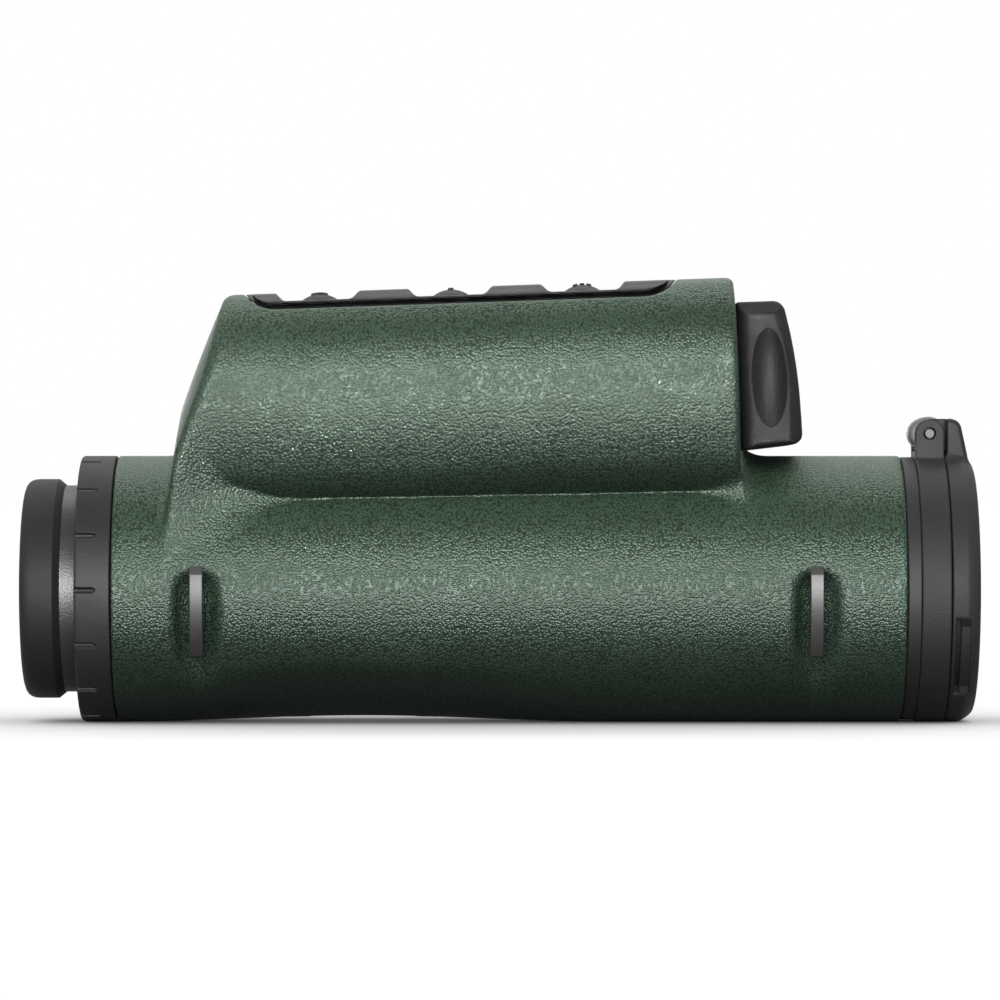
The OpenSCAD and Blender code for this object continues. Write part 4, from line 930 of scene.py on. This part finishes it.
def light_path_white(tree):
    """1 for rays from the camera and for reflections and refractions, else 0."""
    path = add_node(tree, "ShaderNodeLightPath")
    both = add_node(tree, "ShaderNodeMath", operation="MAXIMUM")
    every = add_node(tree, "ShaderNodeMath", operation="MAXIMUM")
    tree.links.new(path.outputs["Is Camera Ray"], both.inputs[0])
    tree.links.new(path.outputs["Is Glossy Ray"], both.inputs[1])
    tree.links.new(both.outputs["Value"], every.inputs[0])
    tree.links.new(path.outputs["Is Transmission Ray"], every.inputs[1])
    return every.outputs["Value"]


def white_world(ambient):
    """World that shows white and gives a dim even light."""
    world = bpy.data.worlds.new("studio")
    world.use_nodes = True
    bpy.context.scene.world = world
    tree = world.node_tree
    background = tree.nodes["Background"]
    background.inputs["Color"].default_value = (1, 1, 1, 1)
    level = add_node(tree, "ShaderNodeMapRange", {"To Min": ambient, "To Max": 1.0})
    tree.links.new(light_path_white(tree), level.inputs["Value"])
    tree.links.new(level.outputs["Result"], background.inputs["Strength"])


def white_floor(glow):
    """Pale floor that glows for the camera, with a painted shadow: ambient occlusion darkens the glow near the
    object.
    Its dim lit base keeps a faint real shadow of the object.
    """
    reach = 60
    turns = [math.radians(turn) for turn in (0, 120, 240)]
    corners = [(reach * math.cos(turn), reach * math.sin(turn), 0) for turn in turns]
    mesh = bpy.data.meshes.new("floor")
    mesh.from_pydata(corners, [], [(0, 1, 2)])
    floor = bpy.data.objects.new("floor", mesh)
    bpy.context.scene.collection.objects.link(floor)
    material = bpy.data.materials.new("floor_paper")
    material.use_nodes = True
    tree = material.node_tree
    shader = tree.nodes["Principled BSDF"]
    shader.inputs["Base Color"].default_value = (0.05, 0.05, 0.05, 1)
    shader.inputs["Roughness"].default_value = 0.9
    shader.inputs["Specular IOR Level"].default_value = 0.0
    shader.inputs["Emission Color"].default_value = (1, 1, 1, 1)
    # Painted shadow: the glow is multiplied by ambient occlusion, so the floor, and its reflection in the object,
    # dims near the object
    painted_shadow_ao = add_node(tree, "ShaderNodeAmbientOcclusion", {"Distance": 0.06}, samples=8)
    level = add_node(tree, "ShaderNodeMapRange", {"To Min": 0.0, "To Max": glow})
    shaded = add_node(tree, "ShaderNodeMath", operation="MULTIPLY")
    tree.links.new(light_path_white(tree), level.inputs["Value"])
    tree.links.new(level.outputs["Result"], shaded.inputs[0])
    tree.links.new(painted_shadow_ao.outputs["AO"], shaded.inputs[1])
    tree.links.new(shaded.outputs["Value"], shader.inputs["Emission Strength"])
    mesh.materials.append(material)


def sun(name, direction, strength, softness):
    """Even light from far away, for matt shading alone."""
    light = bpy.data.lights.new(name, "SUN")
    light.energy = strength
    light.angle = math.radians(softness)
    made = bpy.data.objects.new(name, light)
    made.rotation_euler = Vector(direction).to_track_quat("-Z", "Y").to_euler()
    made.visible_glossy = False
    bpy.context.scene.collection.objects.link(made)


def lamp(name, place, target, size, radiance, spread=180):
    """Rectangular soft box for reflections alone, turned to a target, with its beam spread in degrees."""
    light = bpy.data.lights.new(name, "AREA")
    light.shape = "RECTANGLE"
    light.size, light.size_y = size
    light.energy = radiance * math.pi * size[0] * size[1]
    light.spread = math.radians(spread)
    made = bpy.data.objects.new(name, light)
    made.location = place
    made.rotation_euler = (Vector(target) - Vector(place)).to_track_quat("-Z", "Y").to_euler()
    made.visible_diffuse = False
    made.visible_camera = False
    bpy.context.scene.collection.objects.link(made)


AXIS_HEIGHT = AXIS_Z * MM
IMAGE_MM_PER_PX = 0.16
IMAGE_PX = 1000
CAMERA_DISTANCE = 0.917
CAMERA_X = 0.00016
CAMERA_Z = AXIS_HEIGHT + 0.01414
SENSOR = 36

camera = bpy.data.cameras.new("camera")
camera.sensor_width = SENSOR
camera.lens = SENSOR * CAMERA_DISTANCE / (IMAGE_MM_PER_PX * IMAGE_PX * MM)
camera_object = bpy.data.objects.new("camera", camera)
camera_object.location = (CAMERA_X, -CAMERA_DISTANCE, CAMERA_Z)
camera_object.rotation_euler = (math.pi / 2, 0, 0)
bpy.context.scene.collection.objects.link(camera_object)
bpy.context.scene.camera = camera_object
bpy.context.scene.view_settings.view_transform = "Standard"

white_world(0.03)
white_floor(0.97)
OBJECT = (0, 0, AXIS_HEIGHT)
MODULE_SIDE = (0, 0, AXIS_HEIGHT + 0.034)
lamp("front", (0, -1.3, AXIS_HEIGHT + 0.09), OBJECT, (1.4, 0.22), 125)
lamp("rear", (0, 1.3, AXIS_HEIGHT + 0.09), OBJECT, (1.4, 0.22), 3)
lamp("high", (0, 0.65, 1.1), OBJECT, (1.8, 0.4), 7)
lamp("left", (-1.1, -0.65, 0.2), OBJECT, (0.4, 0.8), 12)
lamp("right", (1.1, -0.65, 0.2), OBJECT, (0.4, 0.8), 12)
lamp("module", (0, -0.5, AXIS_HEIGHT + 0.036), MODULE_SIDE, (0.12, 0.03), 3, spread=5)
sun("key", (0.22, 0.72, -0.66), 2.4, 60)
sun("fill", (-0.1, -0.75, -0.6), 1.8, 60)
